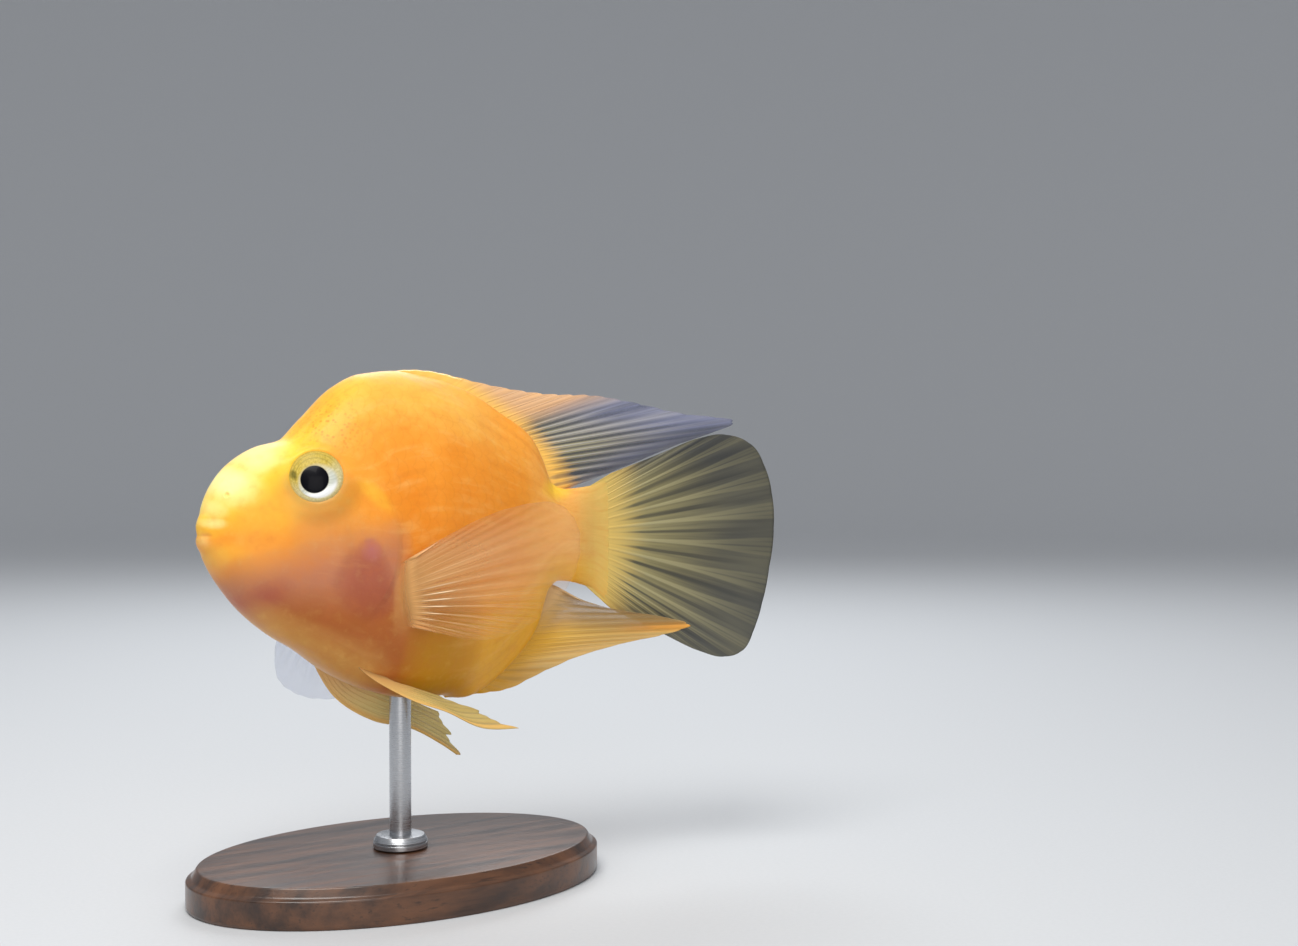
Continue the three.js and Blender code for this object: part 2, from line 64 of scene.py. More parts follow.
def line_through(points):
    """A smooth line through the points that never overshoots, and starts steeply as the snout does."""
    at = np.sqrt([station for station, _ in points])
    value = np.array([height for _, height in points], float)
    step = np.diff(at)
    slope = np.diff(value) / step
    tangent = np.concatenate(([slope[0]], np.zeros(len(slope) - 1), [slope[-1]]))
    for i in range(1, len(slope)):
        if slope[i - 1] * slope[i] > 0:
            first = 2 * step[i] + step[i - 1]
            second = step[i] + 2 * step[i - 1]
            tangent[i] = (first + second) / (first / slope[i - 1] + second / slope[i])

    def line(station):
        x = np.sqrt(np.maximum(station, 0))
        i = np.clip(np.searchsorted(at, x) - 1, 0, len(step) - 1)
        t = np.clip((x - at[i]) / step[i], 0, 1)
        return (value[i] * (2 * t**3 - 3 * t**2 + 1) + step[i] * tangent[i] * (t**3 - 2 * t**2 + t)
                + value[i + 1] * (3 * t**2 - 2 * t**3) + step[i] * tangent[i + 1] * (t**3 - t**2))

    return line


back = line_through(BACK_LINE)
belly = line_through(BELLY_LINE)
half_width = line_through(HALF_WIDTH)
widest = line_through(WIDEST_LINE)
upper_roundness = line_through(UPPER_ROUNDNESS)
lower_roundness = line_through(LOWER_ROUNDNESS)


def smooth(value, low, high):
    t = np.clip((value - low) / (high - low), 0, 1)
    return t * t * (3 - 2 * t)


def bump(value, middle, width):
    return np.exp(-((value - middle) / width) ** 2)


def place(station, height, right=0.0):
    """The point at a station, a height and a distance to the fish's right of its bent middle plane."""
    station, height, right = np.broadcast_arrays(station, height, right)
    turned = np.clip(station - BEND_START, 0, BEND_RADIUS * BEND) / BEND_RADIUS
    past = np.maximum(0, station - BEND_END)
    x = (SNOUT_X + np.minimum(station, BEND_START) + BEND_RADIUS * np.sin(turned)
         + past * np.cos(turned) + right * np.sin(turned))
    y = -BEND_RADIUS * (1 - np.cos(turned)) - past * np.sin(turned) + right * np.cos(turned)
    return np.stack([x, y, height + 0.0 * x], axis=-1)


def body_point(station, angle):
    """A point of the body's surface. The angle runs from the right side over the back."""
    up = np.sin(angle)
    across = np.cos(angle)
    over = up >= 0
    power = 2 / np.where(over, upper_roundness(station), lower_roundness(station))
    reach = np.where(over, back(station) - widest(station), widest(station) - belly(station))
    height = widest(station) + np.sign(up) * reach * np.abs(up) ** power
    right = np.sign(across) * half_width(station) * np.abs(across) ** power
    return place(station, height, right)


def flank_point(station, height, side):
    """The surface point at a station and a height, on the right side (1) or the left (-1)."""
    over = height >= widest(station)
    power = np.where(over, upper_roundness(station), lower_roundness(station))
    reach = np.where(over, back(station) - widest(station), widest(station) - belly(station))
    share = np.minimum(1, np.abs(height - widest(station)) / reach)
    return place(station, height, side * half_width(station) * (1 - share**power) ** (1 / power))


def flank_normal(station, height, side):
    step = 0.5
    along = flank_point(station + step, height, side) - flank_point(station - step, height, side)
    up = flank_point(station, height + step, side) - flank_point(station, height - step, side)
    out = -side * np.cross(along, up)
    return out / np.linalg.norm(out)


# The gill cover's free edge is part of a circle seen from the side. The skin's rows are laid so that
# one runs along it, from the nape round the cheek to the throat. They crowd together at the snout.
GILL_CENTRE = (16.5, 83.0)
GILL_RADIUS = 23.7
GILL_BETWEEN = (5.0, 60.0)
GILL_LIFT = 0.42
GILL_LIFT_WIDTH = 6.0
GILL_DIP = 0.09
GILL_DIP_WIDTH = 2.6
GILL_STEP = 1.1
HALVINGS = 40
HEAD_ROWS = 150
HEAD_CROWDING = 1.75
TRUNK_ROWS = 172
SIDES = 300

angle = np.linspace(-math.pi / 2, 1.5 * math.pi, SIDES, endpoint=False)
near, far = (np.full(SIDES, station) for station in GILL_BETWEEN)
for _ in range(HALVINGS):
    gill_station = (near + far) / 2
    gill_height = body_point(gill_station, angle)[:, 2]
    inside = np.hypot(gill_station - GILL_CENTRE[0], gill_height - GILL_CENTRE[1]) < GILL_RADIUS
    near, far = np.where(inside, gill_station, near), np.where(inside, far, gill_station)

head_share = np.linspace(0, 1, HEAD_ROWS + 1)[1:, None] ** HEAD_CROWDING
trunk_share = np.linspace(0, 1, TRUNK_ROWS + 1)[1:, None]
row_station = np.concatenate([
    gill_station * head_share,
    gill_station[None] + GILL_STEP,
    gill_station + GILL_STEP + (FLESH_END - gill_station - GILL_STEP) * trunk_share,
])
row_angle = np.broadcast_to(angle, row_station.shape)
skin_points = body_point(row_station, row_angle)


def normals_of(points):
    """Normals of a sheet of rows that close round the fish."""
    along = np.gradient(points, axis=0)
    around = (np.roll(points, -1, axis=1) - np.roll(points, 1, axis=1)) / 2
    out = np.cross(around, along)
    return out / np.maximum(np.linalg.norm(out, axis=-1, keepdims=True), 1e-9)


skin_normals = normals_of(skin_points)
raised = np.zeros(row_station.shape)
side_x = skin_points[..., 0] - SNOUT_X
side_z = skin_points[..., 2]

# Gill cover: stands a little proud of the trunk behind it, which dips under its edge.
on_head = (np.arange(len(row_station)) < HEAD_ROWS)[:, None]
from_centre = np.hypot(side_x - GILL_CENTRE[0], side_z - GILL_CENTRE[1])
rearward = smooth((side_x - GILL_CENTRE[0]) / GILL_RADIUS, 0.15, 0.6)
lift = GILL_LIFT * rearward * bump(from_centre, GILL_RADIUS, GILL_LIFT_WIDTH)
dip = GILL_DIP * rearward * np.exp(-np.maximum(from_centre - GILL_RADIUS, 0) / GILL_DIP_WIDTH)
lower_edge = (1 - 0.7 * smooth(side_z, 84, 97)) * smooth(side_z, 60, 78)
raised += np.where(on_head, lift, -dip) * lower_edge

# A low sheath of scaly flesh along the roots of the dorsal and anal fins
SHEATH_WIDTH = 3.3
off_middle = half_width(row_station) * np.abs(np.cos(row_angle))
on_top = (row_angle > 0) & (row_angle < math.pi)
dorsal_sheath = (0.2 + 2.2 * smooth(row_station, 50, 72)) * smooth(row_station, 42, 50) * on_top
anal_sheath = 2.4 * smooth(row_station, 60, 68) * ~on_top
sheath_end = 1 - smooth(row_station, 82, 92)
raised += (dorsal_sheath + anal_sheath) * sheath_end * bump(off_middle, 0, SHEATH_WIDTH)

# The soft edge of the bone in front of the gill cover: a low crest, then a shallow groove
CHEEK_CENTRE = (12.5, 84.5)
cheek_edge = np.hypot(side_x - CHEEK_CENTRE[0], side_z - CHEEK_CENTRE[1])
for radius, width, proud in ((15.2, 2.4, 0.1), (17.5, 1.6, -0.12)):
    raised += proud * rearward * bump(cheek_edge, radius, width) * on_head

# Mouth: two fleshy lips with a narrow opening between them
MOUTH_HEIGHT = 85.7
MOUTH_HALF_WIDTH = 4.9
MOUTH_ARCH = 0.15
UPPER_LIP = (88.2, 1.5, 0.24)
LOWER_LIP = (83.4, 1.4, 0.2)
CREASE_AWAY = 2.6
CREASE_DEPTH = 0.14
CREASE_WIDTH = 1.1
VALLEY_DEPTH = 0.24
VALLEY_WIDTH = 1.2
SLIT_DEPTH = 0.06
SLIT_DEEPENS = 0.09
SLIT_WIDTH = 0.4
sideways = skin_points[..., 1] / MOUTH_HALF_WIDTH
lip_fade = np.clip(1 - sideways**4, 0, 1) * (row_station < 12)
for lip_height, thickness, proud in (UPPER_LIP, LOWER_LIP):
    lip_line = lip_height + (MOUTH_HEIGHT - lip_height) * sideways**2
    raised += proud * lip_fade * bump(side_z, lip_line, thickness)
    crease = lip_line + CREASE_AWAY * np.sign(lip_height - MOUTH_HEIGHT)
    raised -= CREASE_DEPTH * lip_fade * bump(side_z, crease, CREASE_WIDTH)
mouth_line = MOUTH_HEIGHT - MOUTH_ARCH * (1 - sideways**2)
valley = VALLEY_DEPTH * smooth(np.abs(sideways), 0.15, 0.8)
slit = SLIT_DEPTH + SLIT_DEEPENS * smooth(np.abs(sideways), 0.05, 0.6)
raised -= valley * lip_fade * bump(side_z, mouth_line, VALLEY_WIDTH)
raised -= slit * lip_fade * bump(side_z, mouth_line, SLIT_WIDTH)

# Nostrils: a small pit in a raised ring on each side of the snout
NOSTRIL = (4.6, 94.8)
NOSTRIL_RADIUS = 0.8
NOSTRIL_RIM = 0.1
NOSTRIL_RIM_WIDTH = 0.4
NOSTRIL_DEPTH = 0.45
NOSTRIL_PIT = 0.5
for side in (-1, 1):
    distance = np.linalg.norm(skin_points - flank_point(*NOSTRIL, side), axis=-1)
    raised += NOSTRIL_RIM * bump(distance, NOSTRIL_RADIUS, NOSTRIL_RIM_WIDTH)
    raised -= NOSTRIL_DEPTH * np.exp(-((distance / NOSTRIL_PIT) ** 4))

skin_points += raised[..., None] * skin_normals

# Eye sockets: the skin rises in a low ring round each eye and goes in under the eyeball.
EYE_STATION = 22.9
EYE_HEIGHT = 98.7
ORBIT_INNER = 4.2
ORBIT_CREST = 6.3
ORBIT_DEPTH = 1.5
ORBIT_OUTER = 12.5
ORBIT_TOP = 8.8
ORBIT_PROUD = 0.25
ORBIT_REACH = 8.0
for side in (-1, 1):
    eye_centre = flank_point(EYE_STATION, EYE_HEIGHT, side)
    eye_out = flank_normal(EYE_STATION, EYE_HEIGHT, side)
    offset = skin_points - eye_centre
    level = offset @ eye_out
    flat = offset - level[..., None] * eye_out
    radius = np.maximum(np.linalg.norm(flat, axis=-1), 1e-6)
    upward = smooth(flat[..., 2] / radius, 0.0, 0.8)
    outer = ORBIT_OUTER + (ORBIT_TOP - ORBIT_OUTER) * upward
    close = (radius < outer) & (np.abs(level) < ORBIT_REACH)
    share = (1 - smooth(radius, ORBIT_CREST, outer)) ** 1.6
    wanted = ORBIT_PROUD - ORBIT_DEPTH * (1 - smooth(radius, ORBIT_INNER, ORBIT_CREST))
    new_level = level + (wanted - level) * share
    moved = eye_centre + flat + new_level[..., None] * eye_out
    skin_points = np.where(close[..., None], moved, skin_points)

# Scales: each shows a rounded rear edge and lies over the one behind it, in staggered rows. They are
# plain on the trunk and nape, faint on the cheek and missing on the snout.
SCALE_LENGTH = 2.5
SCALE_ROWS = 44
SCALE_RELIEF = 0.06
SCALE_REACH = 1.15
SCALE_HALF = 0.6

ring_step = np.linalg.norm(np.roll(skin_points, -1, axis=1) - skin_points, axis=-1)
ring_arc = np.cumsum(ring_step, axis=1) - ring_step
scale_row = SCALE_ROWS * ring_arc / ring_step.sum(axis=1, keepdims=True)
stations = np.linspace(0, FLESH_END, 400)
pitch = SCALE_LENGTH * (1 - 0.38 * smooth(stations, 72, 100) - 0.25 * (1 - smooth(stations, 14, 40)))
scale_count = np.concatenate(([0], np.cumsum(np.diff(stations) / pitch[1:])))
scale_column = np.interp(row_station, stations, scale_count)


def scale_height(column, row):
    """How high the uppermost scale is at a place, from 0 at its sunk front to 1 at its rear edge."""
    found = np.zeros(column.shape)
    for ahead in (2, 1, 0, -1):
        centre = np.floor(column) + ahead
        shift = 0.5 * (centre % 2)
        across = (row - shift) - np.round(row - shift)
        along = column - centre
        covers = (along / SCALE_REACH) ** 2 + (across / SCALE_HALF) ** 2 < 1
        found = np.where(covers, (along + SCALE_REACH) / (2 * SCALE_REACH), found)
    return found


crown = smooth(skin_points[..., 2], 100, 108) * smooth(row_station, 16, 26)
cheek = smooth(row_station, 16, 24) * (1 - smooth(skin_points[..., 2], 92, 98))
clear_of_eye = smooth(row_station, 24, 33)
scaled = np.where(on_head, np.maximum(crown, np.maximum(0.3 * cheek, 0.45 * clear_of_eye)), 1.0)
scaled = scaled * (1 - smooth(row_station, 97, 104))
relief = SCALE_RELIEF * scaled * (scale_height(scale_column, scale_row) - 0.5)
skin_points += relief[..., None] * normals_of(skin_points)


def add_object(name, points, faces):
    """A new smooth object from points in millimetres."""
    mesh = bpy.data.meshes.new(name)
    mesh.from_pydata((np.reshape(points, (-1, 3)) * MM).tolist(), [], faces)
    mesh.update()
    mesh.polygons.foreach_set("use_smooth", [True] * len(mesh.polygons))
    piece = bpy.data.objects.new(name, mesh)
    bpy.context.scene.collection.objects.link(piece)
    return piece


def add_values(piece, name, values):
    """Keeps one number for each point, for the material to read."""
    layer = piece.data.attributes.new(name, "FLOAT", "POINT")
    layer.data.foreach_set("value", np.ravel(values).astype(np.float32))


def add_uv(piece, name, uv_of_corner):
    layer = piece.data.uv_layers.new(name=name)
    layer.data.foreach_set("uv", np.ravel(uv_of_corner).astype(np.float32))


def ring_faces(rings, around, first=0):
    """The four-cornered faces between rings of points. first is the first point of the first ring."""
    i, j = np.meshgrid(np.arange(rings - 1), np.arange(around), indexing="ij")
    here = first + i * around + j
    beside = first + i * around + (j + 1) % around
    return np.stack([here, beside, beside + around, here + around], -1).reshape(-1, 4)


OTHER_WAY_ROUND = [0, 3, 2, 1]  # a face's corners as seen from behind


def fan_faces(tip, first, around):
    """The triangles between a ring of points and the tip that closes it."""
    ring = first + np.arange(around)
    return np.stack([np.full(around, tip), ring, np.roll(ring, -1)], -1)


rows, sides = row_station.shape
quads = ring_faces(rows, sides)
snout_tip = rows * sides
caps = np.concatenate([fan_faces(snout_tip, 0, sides)[:, ::-1],
                       fan_faces(snout_tip + 1, (rows - 1) * sides, sides)])
tip_points = np.stack([skin_points[0].mean(axis=0), skin_points[-1].mean(axis=0)])
skin = add_object("skin", np.concatenate([skin_points.reshape(-1, 3), tip_points]),
                  quads.tolist() + caps.tolist())

column_of = np.append(scale_column.ravel(), [0, scale_column[-1].mean()])
row_of = np.append(scale_row.ravel(), [0, 0])
corners = np.concatenate([quads.ravel(), caps.ravel()])
corner_row = row_of[corners]
wraps = (quads % sides == [[sides - 1, 0, 0, sides - 1]]).all(axis=1)
wrapped = corner_row[:quads.size].reshape(-1, 4)
wrapped[wraps, 1:3] += SCALE_ROWS
corner_row[:quads.size] = wrapped.ravel()
add_uv(skin, "ScaleMap", np.stack([column_of[corners], corner_row], axis=-1))
add_values(skin, "scaled", np.append(scaled.ravel(), [0, 1]))

# Markings: soft patches of yellow, pink and gold over an orange ground, placed by station and height.
# Among them are painted highlights and painted top light on the head and back, and painted shade on the
# throat, belly, cheek, below the eyes and in the mouth. The leaf is the dark red patch on the gill cover,
# between a front and a rear edge.
LEAF_HEIGHTS = (64, 68, 75, 81, 85.8)
LEAF_FRONT = (32.5, 28, 25.6, 28.3, 34)
LEAF_REAR = (37, 40.5, 40, 37.6, 34.9)
skin_height = skin_points[..., 2]


def patch(station, height, length, depth, tilt=0.0):
    """A soft oval patch on both flanks. A tilt leans its long side back."""
    a = row_station - station
    b = skin_height - height
    turn = math.radians(tilt)
    along = a * math.cos(turn) + b * math.sin(turn)
    up = b * math.cos(turn) - a * math.sin(turn)
    return np.exp(-((along / length) ** 2) - (up / depth) ** 2)


def span(value, start, full, fading, end):
    """1 over a stretch, and 0 before its start and past its end."""
    return smooth(value, start, full) * (1 - smooth(value, fading, end))


def strongest(*masks):
    return np.maximum.reduce(masks)


body_depth = np.maximum(back(row_station) - belly(row_station), 1)
height_share = (skin_height - belly(row_station)) / body_depth
above_cheek = skin_height - (83 + 0.6 * row_station)
above_throat = skin_height - 0.24 * (row_station - 13)
leaf = span(skin_height, 61, 73, 84, 87)
leaf = leaf * smooth(row_station - np.interp(skin_height, LEAF_HEIGHTS, LEAF_FRONT), -3.5, 5.5)
leaf = leaf * smooth(np.interp(skin_height, LEAF_HEIGHTS, LEAF_REAR) - row_station, -1.6, 3.6)
gold = (1 - smooth(height_share, 0.12, 0.42)) * smooth(row_station, 40, 52)
# Painted shadow in a soft olive ring below each eye
socket = np.zeros(row_station.shape)
for side in (-1, 1):
    from_eye = skin_points - flank_point(EYE_STATION, EYE_HEIGHT, side)
    away = np.linalg.norm(from_eye, axis=-1)
    below = smooth(-from_eye[..., 2] / away, -0.5, 0.5)
    socket = np.maximum(socket, below * (0.8 * bump(away, 6.2, 1.5) + 0.35 * bump(away, 8.8, 2.6)))
markings = {
    # Yellow of the head and back, partly its own colour and partly painted light: painted top light on the
    # crown and back, and painted highlights on the gill cover's ridge and the top of the tail stalk
    "sunny": strongest(
        smooth(above_cheek, -2.5, 9) * (1 - smooth(row_station, 19, 31)),
        0.45 * smooth(skin_height, 82, 91) * (1 - smooth(row_station, 13, 27)),
        0.5 * smooth(height_share, 0.78, 0.98) * (1 - smooth(row_station, 34, 48)),
        0.3 * smooth(height_share, 0.72, 0.95) * (1 - smooth(row_station, 60, 84)),
        0.3 * patch(3.5, 81.8, 5.5, 3.5),
        0.45 * patch(35.3, 94.6, 5.5, 2.0, -45),
        patch(90.5, 94.5, 4, 2.4),
    ),
    # Painted highlights on the forehead, the crown, the snout and the upper lip
    "glow": strongest(
        patch(5.2, 97.8, 4.8, 4.8),
        0.8 * patch(12.0, 103.6, 7, 3.2, 28),
        0.3 * patch(0.5, 84.5, 1.2, 2.0),
        0.62 * patch(2.0, 88.6, 2.0, 1.3),
        0.52 * patch(2.2, 92.2, 2.6, 3.2),
    ),
    "blush": (1 - smooth(above_throat, 73, 87)) * span(row_station, 0.5, 6, 38, 47),
    "shade": (1 - smooth(skin_height, 66, 77.5)) * span(row_station, 9, 16, 50, 72),
    "leaf": leaf,
    "leaf_tip": leaf * patch(34.4, 83.5, 3.2, 3.4),
    "chin": patch(11.2, 71, 3.4, 6, -48),
    "keel": strongest(
        (1 - smooth(height_share, 0.03, 0.2)) * span(row_station, 6, 16, 34, 46),
        patch(29.5, 55.5, 5.5, 3.4, -35),
    ),
    "gold": gold,
    # The belly's darker ochre: its gold, deepened by painted shade
    "belly_gold": gold * (1 - smooth(row_station, 56, 72)),
    "pale": strongest(
        smooth(row_station, 74, 97),
        0.6 * patch(2.0, 79, 2.6, 5.5),
        0.5 * smooth(height_share, 0.72, 0.95) * span(row_station, 30, 42, 62, 84),
    ),
    "fin_root": patch(42.5, 71, 3.6, 7.4) * smooth(row_station, 37.5, 41),
    "deep": strongest(patch(46, 88, 9, 17), 0.7 * patch(60, 92, 17, 14), patch(43, 79, 6, 8)),
    # Painted shade on the cheek below the eye
    "dusky": patch(24, 86, 10, 6.5) * smooth(row_station, 12, 20),
    # Painted shadow below the eyes
    "socket": socket,
    "tail": smooth(row_station, 93, 105),
    "freckled": patch(28.5, 110, 6, 7) * smooth(skin_height, 102, 106),
    # Painted shade in the recess between the lips
    "mouth": lip_fade * bump(skin_height, MOUTH_HEIGHT - 0.6, 1.4) * smooth(np.abs(sideways), 0.0, 0.45),
}
for name, mask in markings.items():
    add_values(skin, name, np.append(mask.ravel(), [mask[0].mean(), mask[-1].mean()]))
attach(skin, "root")
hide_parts("head", "torso", "tail_stalk")


def colour(red, green, blue):
    """A screen colour, from 0 to 255, as the shader needs it."""
    shares = [part / 255 for part in (red, green, blue)]
    return tuple(s / 12.92 if s <= 0.04045 else ((s + 0.055) / 1.055) ** 2.4 for s in shares) + (1.0,)


class Finish:
    """The nodes of one material or node group. Each call adds a node and returns what it puts out."""

    def __init__(self, tree):
        self.tree = tree

    def set(self, socket, value):
        """Joins a socket to another node's output, or gives it a plain value."""
        if isinstance(value, bpy.types.NodeSocket):
            self.tree.links.new(value, socket)
        else:
            socket.default_value = value

    def node(self, kind, inputs=(), **settings):
        made = self.tree.nodes.new(kind)
        for name, value in settings.items():
            setattr(made, name, value)
        for key, value in dict(inputs).items():
            self.set(made.inputs[key], value)
        return made

    def surface(self, **inputs):
        """Sets the Principled shader's sockets, named with _ for a space."""
        shader = self.tree.nodes["Principled BSDF"]
        for name, value in inputs.items():
            self.set(shader.inputs[name.replace("_", " ")], value)

    def math(self, operation, *values):
        return self.node("ShaderNodeMath", enumerate(values), operation=operation).outputs[0]

    def times(self, first, *others):
        for other in others:
            first = self.math("MULTIPLY", first, other)
        return first

    def times_plus(self, value, factor, more):
        return self.math("MULTIPLY_ADD", value, factor, more)

    def minus(self, first, second):
        return self.math("SUBTRACT", first, second)

    def rest(self, share):
        """What a share leaves of 1."""
        return self.math("SUBTRACT", 1.0, share)

    def larger(self, first, second):
        return self.math("MAXIMUM", first, second)

    def ramp(self, value, low, high, start=0.0, end=1.0):
        inputs = {"Value": value, "From Min": low, "From Max": high, "To Min": start, "To Max": end}
        return self.node("ShaderNodeMapRange", inputs, interpolation_type="SMOOTHSTEP").outputs["Result"]

    def mix(self, share, first, second):
        return self.node("ShaderNodeMix", {0: share, 6: first, 7: second}, data_type="RGBA").outputs[2]

    def value(self, name):
        return self.node("ShaderNodeAttribute", attribute_name=name).outputs["Fac"]

    def noise(self, where, scale, detail, roughness=0.5):
        inputs = {"Vector": where, "Scale": scale, "Detail": detail, "Roughness": roughness}
        return self.node("ShaderNodeTexNoise", inputs).outputs["Fac"]

    def object_place(self):
        return self.node("ShaderNodeTexCoord").outputs["Object"]

    def stretched(self, where, x, y, z):
        return self.node("ShaderNodeMapping", {"Vector": where, "Scale": (x, y, z)}).outputs[0]

    def distance(self, where, point):
        inputs = {0: where, 1: point}
        return self.node("ShaderNodeVectorMath", inputs, operation="DISTANCE").outputs["Value"]

    def bump(self, height, distance, strength):
        inputs = {"Height": height, "Distance": distance, "Strength": strength}
        return self.node("ShaderNodeBump", inputs).outputs[0]


def new_material(name, *pieces):
    material = bpy.data.materials.new(name)
    material.use_nodes = True
    for piece in pieces:
        piece.data.materials.append(material)
    return Finish(material.node_tree)


TAIL_ROOT = colour(214, 182, 98)
hide = new_material("scaled_skin", skin)
where = hide.object_place()
cloud = hide.noise(where, 70, 3)
mottle = hide.noise(where, 330, 3, 0.6)
grain = hide.noise(where, 1500, 2)
paint = hide.mix(hide.ramp(cloud, 0.35, 0.65), colour(248, 163, 56), colour(244, 153, 44))
for mask, share, tint in (
    ("deep", 0.85, colour(242, 142, 34)),
    ("pale", 0.8, colour(238, 180, 98)),
    ("gold", 0.85, colour(240, 176, 40)),
    ("sunny", 0.92, colour(255, 206, 58)),
    ("dusky", 0.6, colour(218, 148, 80)),
    ("blush", 0.9, colour(188, 120, 92)),
    ("shade", 0.92, colour(180, 98, 36)),
    ("belly_gold", 0.88, colour(198, 138, 10)),
    ("leaf", 0.62, colour(160, 70, 54)),
    ("leaf_tip", 0.72, colour(192, 118, 122)),
    ("chin", 0.6, colour(170, 74, 60)),
    ("keel", 0.85, colour(220, 160, 84)),
    ("fin_root", 0.75, colour(214, 156, 90)),
    ("mouth", 0.6, colour(230, 136, 40)),
    # painted shadow below the eyes
    ("socket", 0.75, colour(184, 142, 62)),
    ("glow", 0.9, colour(255, 246, 172)),
    ("tail", 0.9, TAIL_ROOT),
):
    edge = hide.times(hide.value(mask), share)
    uneven = hide.times_plus(hide.minus(mottle, 0.5), 0.3, edge)
    inside = hide.times(uneven, hide.ramp(edge, 0.0, 0.3))
    paint = hide.mix(hide.larger(inside, 0.0), paint, tint)

# Streaks along the scale rows, weaker in the brown shade, and a fine mottling of light and dark
scale_map = hide.node("ShaderNodeUVMap", uv_map="ScaleMap").outputs[0]
scaled_here = hide.value("scaled")
band = hide.noise(hide.stretched(scale_map, 0.16, 1.1, 1.0), 1.0, 4, 0.6)
streaked = hide.times(hide.larger(scaled_here, hide.value("tail")),
                      hide.times_plus(hide.value("shade"), -0.7, 1.0))
lighter = hide.times(hide.ramp(band, 0.5, 0.72, 0.0, 0.24), streaked)
darker = hide.times(hide.ramp(band, 0.5, 0.3, 0.0, 0.22), streaked)
paint = hide.mix(lighter, paint, colour(255, 204, 120))
paint = hide.mix(darker, paint, colour(214, 118, 30))
paint = hide.mix(hide.ramp(mottle, 0.5, 0.8, 0.0, 0.1), paint, colour(255, 216, 130))
paint = hide.mix(hide.ramp(mottle, 0.2, 0.48, 0.12, 0.0), paint, colour(196, 96, 30))

# The scales again, crisp, for their thin darker rims and the small steps between them
map_parts = hide.node("ShaderNodeSeparateXYZ", {0: scale_map}).outputs
whole = hide.math("FLOOR", map_parts["X"])
plate, rim_at = 0.0, 0.0
for ahead in (2, 1, 0, -1):
    centre = hide.math("ADD", whole, ahead)
    shift = hide.times(hide.math("FLOORED_MODULO", centre, 2), 0.5)
    shifted = hide.minus(map_parts["Y"], shift)
    across = hide.math("DIVIDE", hide.minus(shifted, hide.math("ROUND", shifted)), SCALE_HALF)
    along = hide.math("DIVIDE", hide.minus(map_parts["X"], centre), SCALE_REACH)
    from_middle = hide.math("ADD", hide.times(across, across), hide.times(along, along))
    covers = hide.math("LESS_THAN", from_middle, 1.0)
    level = hide.times_plus(along, 0.5, 0.5)
    plate = hide.times_plus(hide.minus(level, plate), covers, plate)
    rim_at = hide.times_plus(hide.minus(from_middle, rim_at), covers, rim_at)
rim_tone = hide.times(hide.ramp(rim_at, 0.7, 1.0, 0.0, 0.12), scaled_here)
paint = hide.mix(rim_tone, paint, colour(206, 112, 26))

# Freckles on the nape, and a painted pale sheen where the skin turns away from view
spots = hide.node("ShaderNodeTexVoronoi", {"Vector": where, "Scale": 900.0}, feature="F1")
freckle = hide.ramp(spots.outputs["Distance"], 0.42, 0.16, 0.0, 0.55)
paint = hide.mix(hide.times(freckle, hide.value("freckled")), paint, colour(200, 118, 34))
edge_on = hide.node("ShaderNodeLayerWeight", {"Blend": 0.5}).outputs["Facing"]
paint = hide.mix(hide.ramp(edge_on, 0.72, 1.0, 0.0, 0.4), paint, colour(252, 214, 178))
fine_relief = hide.times_plus(mottle, 0.5, hide.times(grain, 0.2))
hide.surface(
    Base_Color=paint,
    Roughness=hide.ramp(mottle, 0.3, 0.7, 0.42, 0.54),
    Normal=hide.bump(hide.times_plus(hide.times(plate, scaled_here), 0.25, fine_relief), 0.00016, 0.6),
    Specular_IOR_Level=0.22,
    Subsurface_Weight=0.2,
    Subsurface_Radius=(1.0, 0.4, 0.15),
    Subsurface_Scale=0.002,
    Coat_Weight=0.1,
    Coat_Roughness=0.25,
)

# Eyes: balls pressed flat, set in the sockets of the skin. A black pupil lies low in a silver iris that
# turns olive above and in front, all under a smooth wet cornea.
EYE_RADIUS = 7.5
EYE_DEPTH = 3.7
EYE_SUNK = 2.1
EYE_SIDES = 96
PUPIL_RADIUS = 3.15
PUPIL_AHEAD = 0.4
PUPIL_BELOW = 0.95
CORNEA = 0.12
CORNEA_WIDTH = 2.6
IRIS_FOLDS = ((PUPIL_RADIUS, 0.2, -0.07), (3.9, 0.6, 0.05), (5.0, 0.4, -0.04))

front_rings = np.concatenate([np.linspace(0.25, 2.8, 8), np.linspace(2.9, 3.4, 7),
                              np.linspace(3.55, 5.7, 14), np.linspace(5.9, 7.35, 6)])
back_rings = np.linspace(7.45, 0.4, 12)


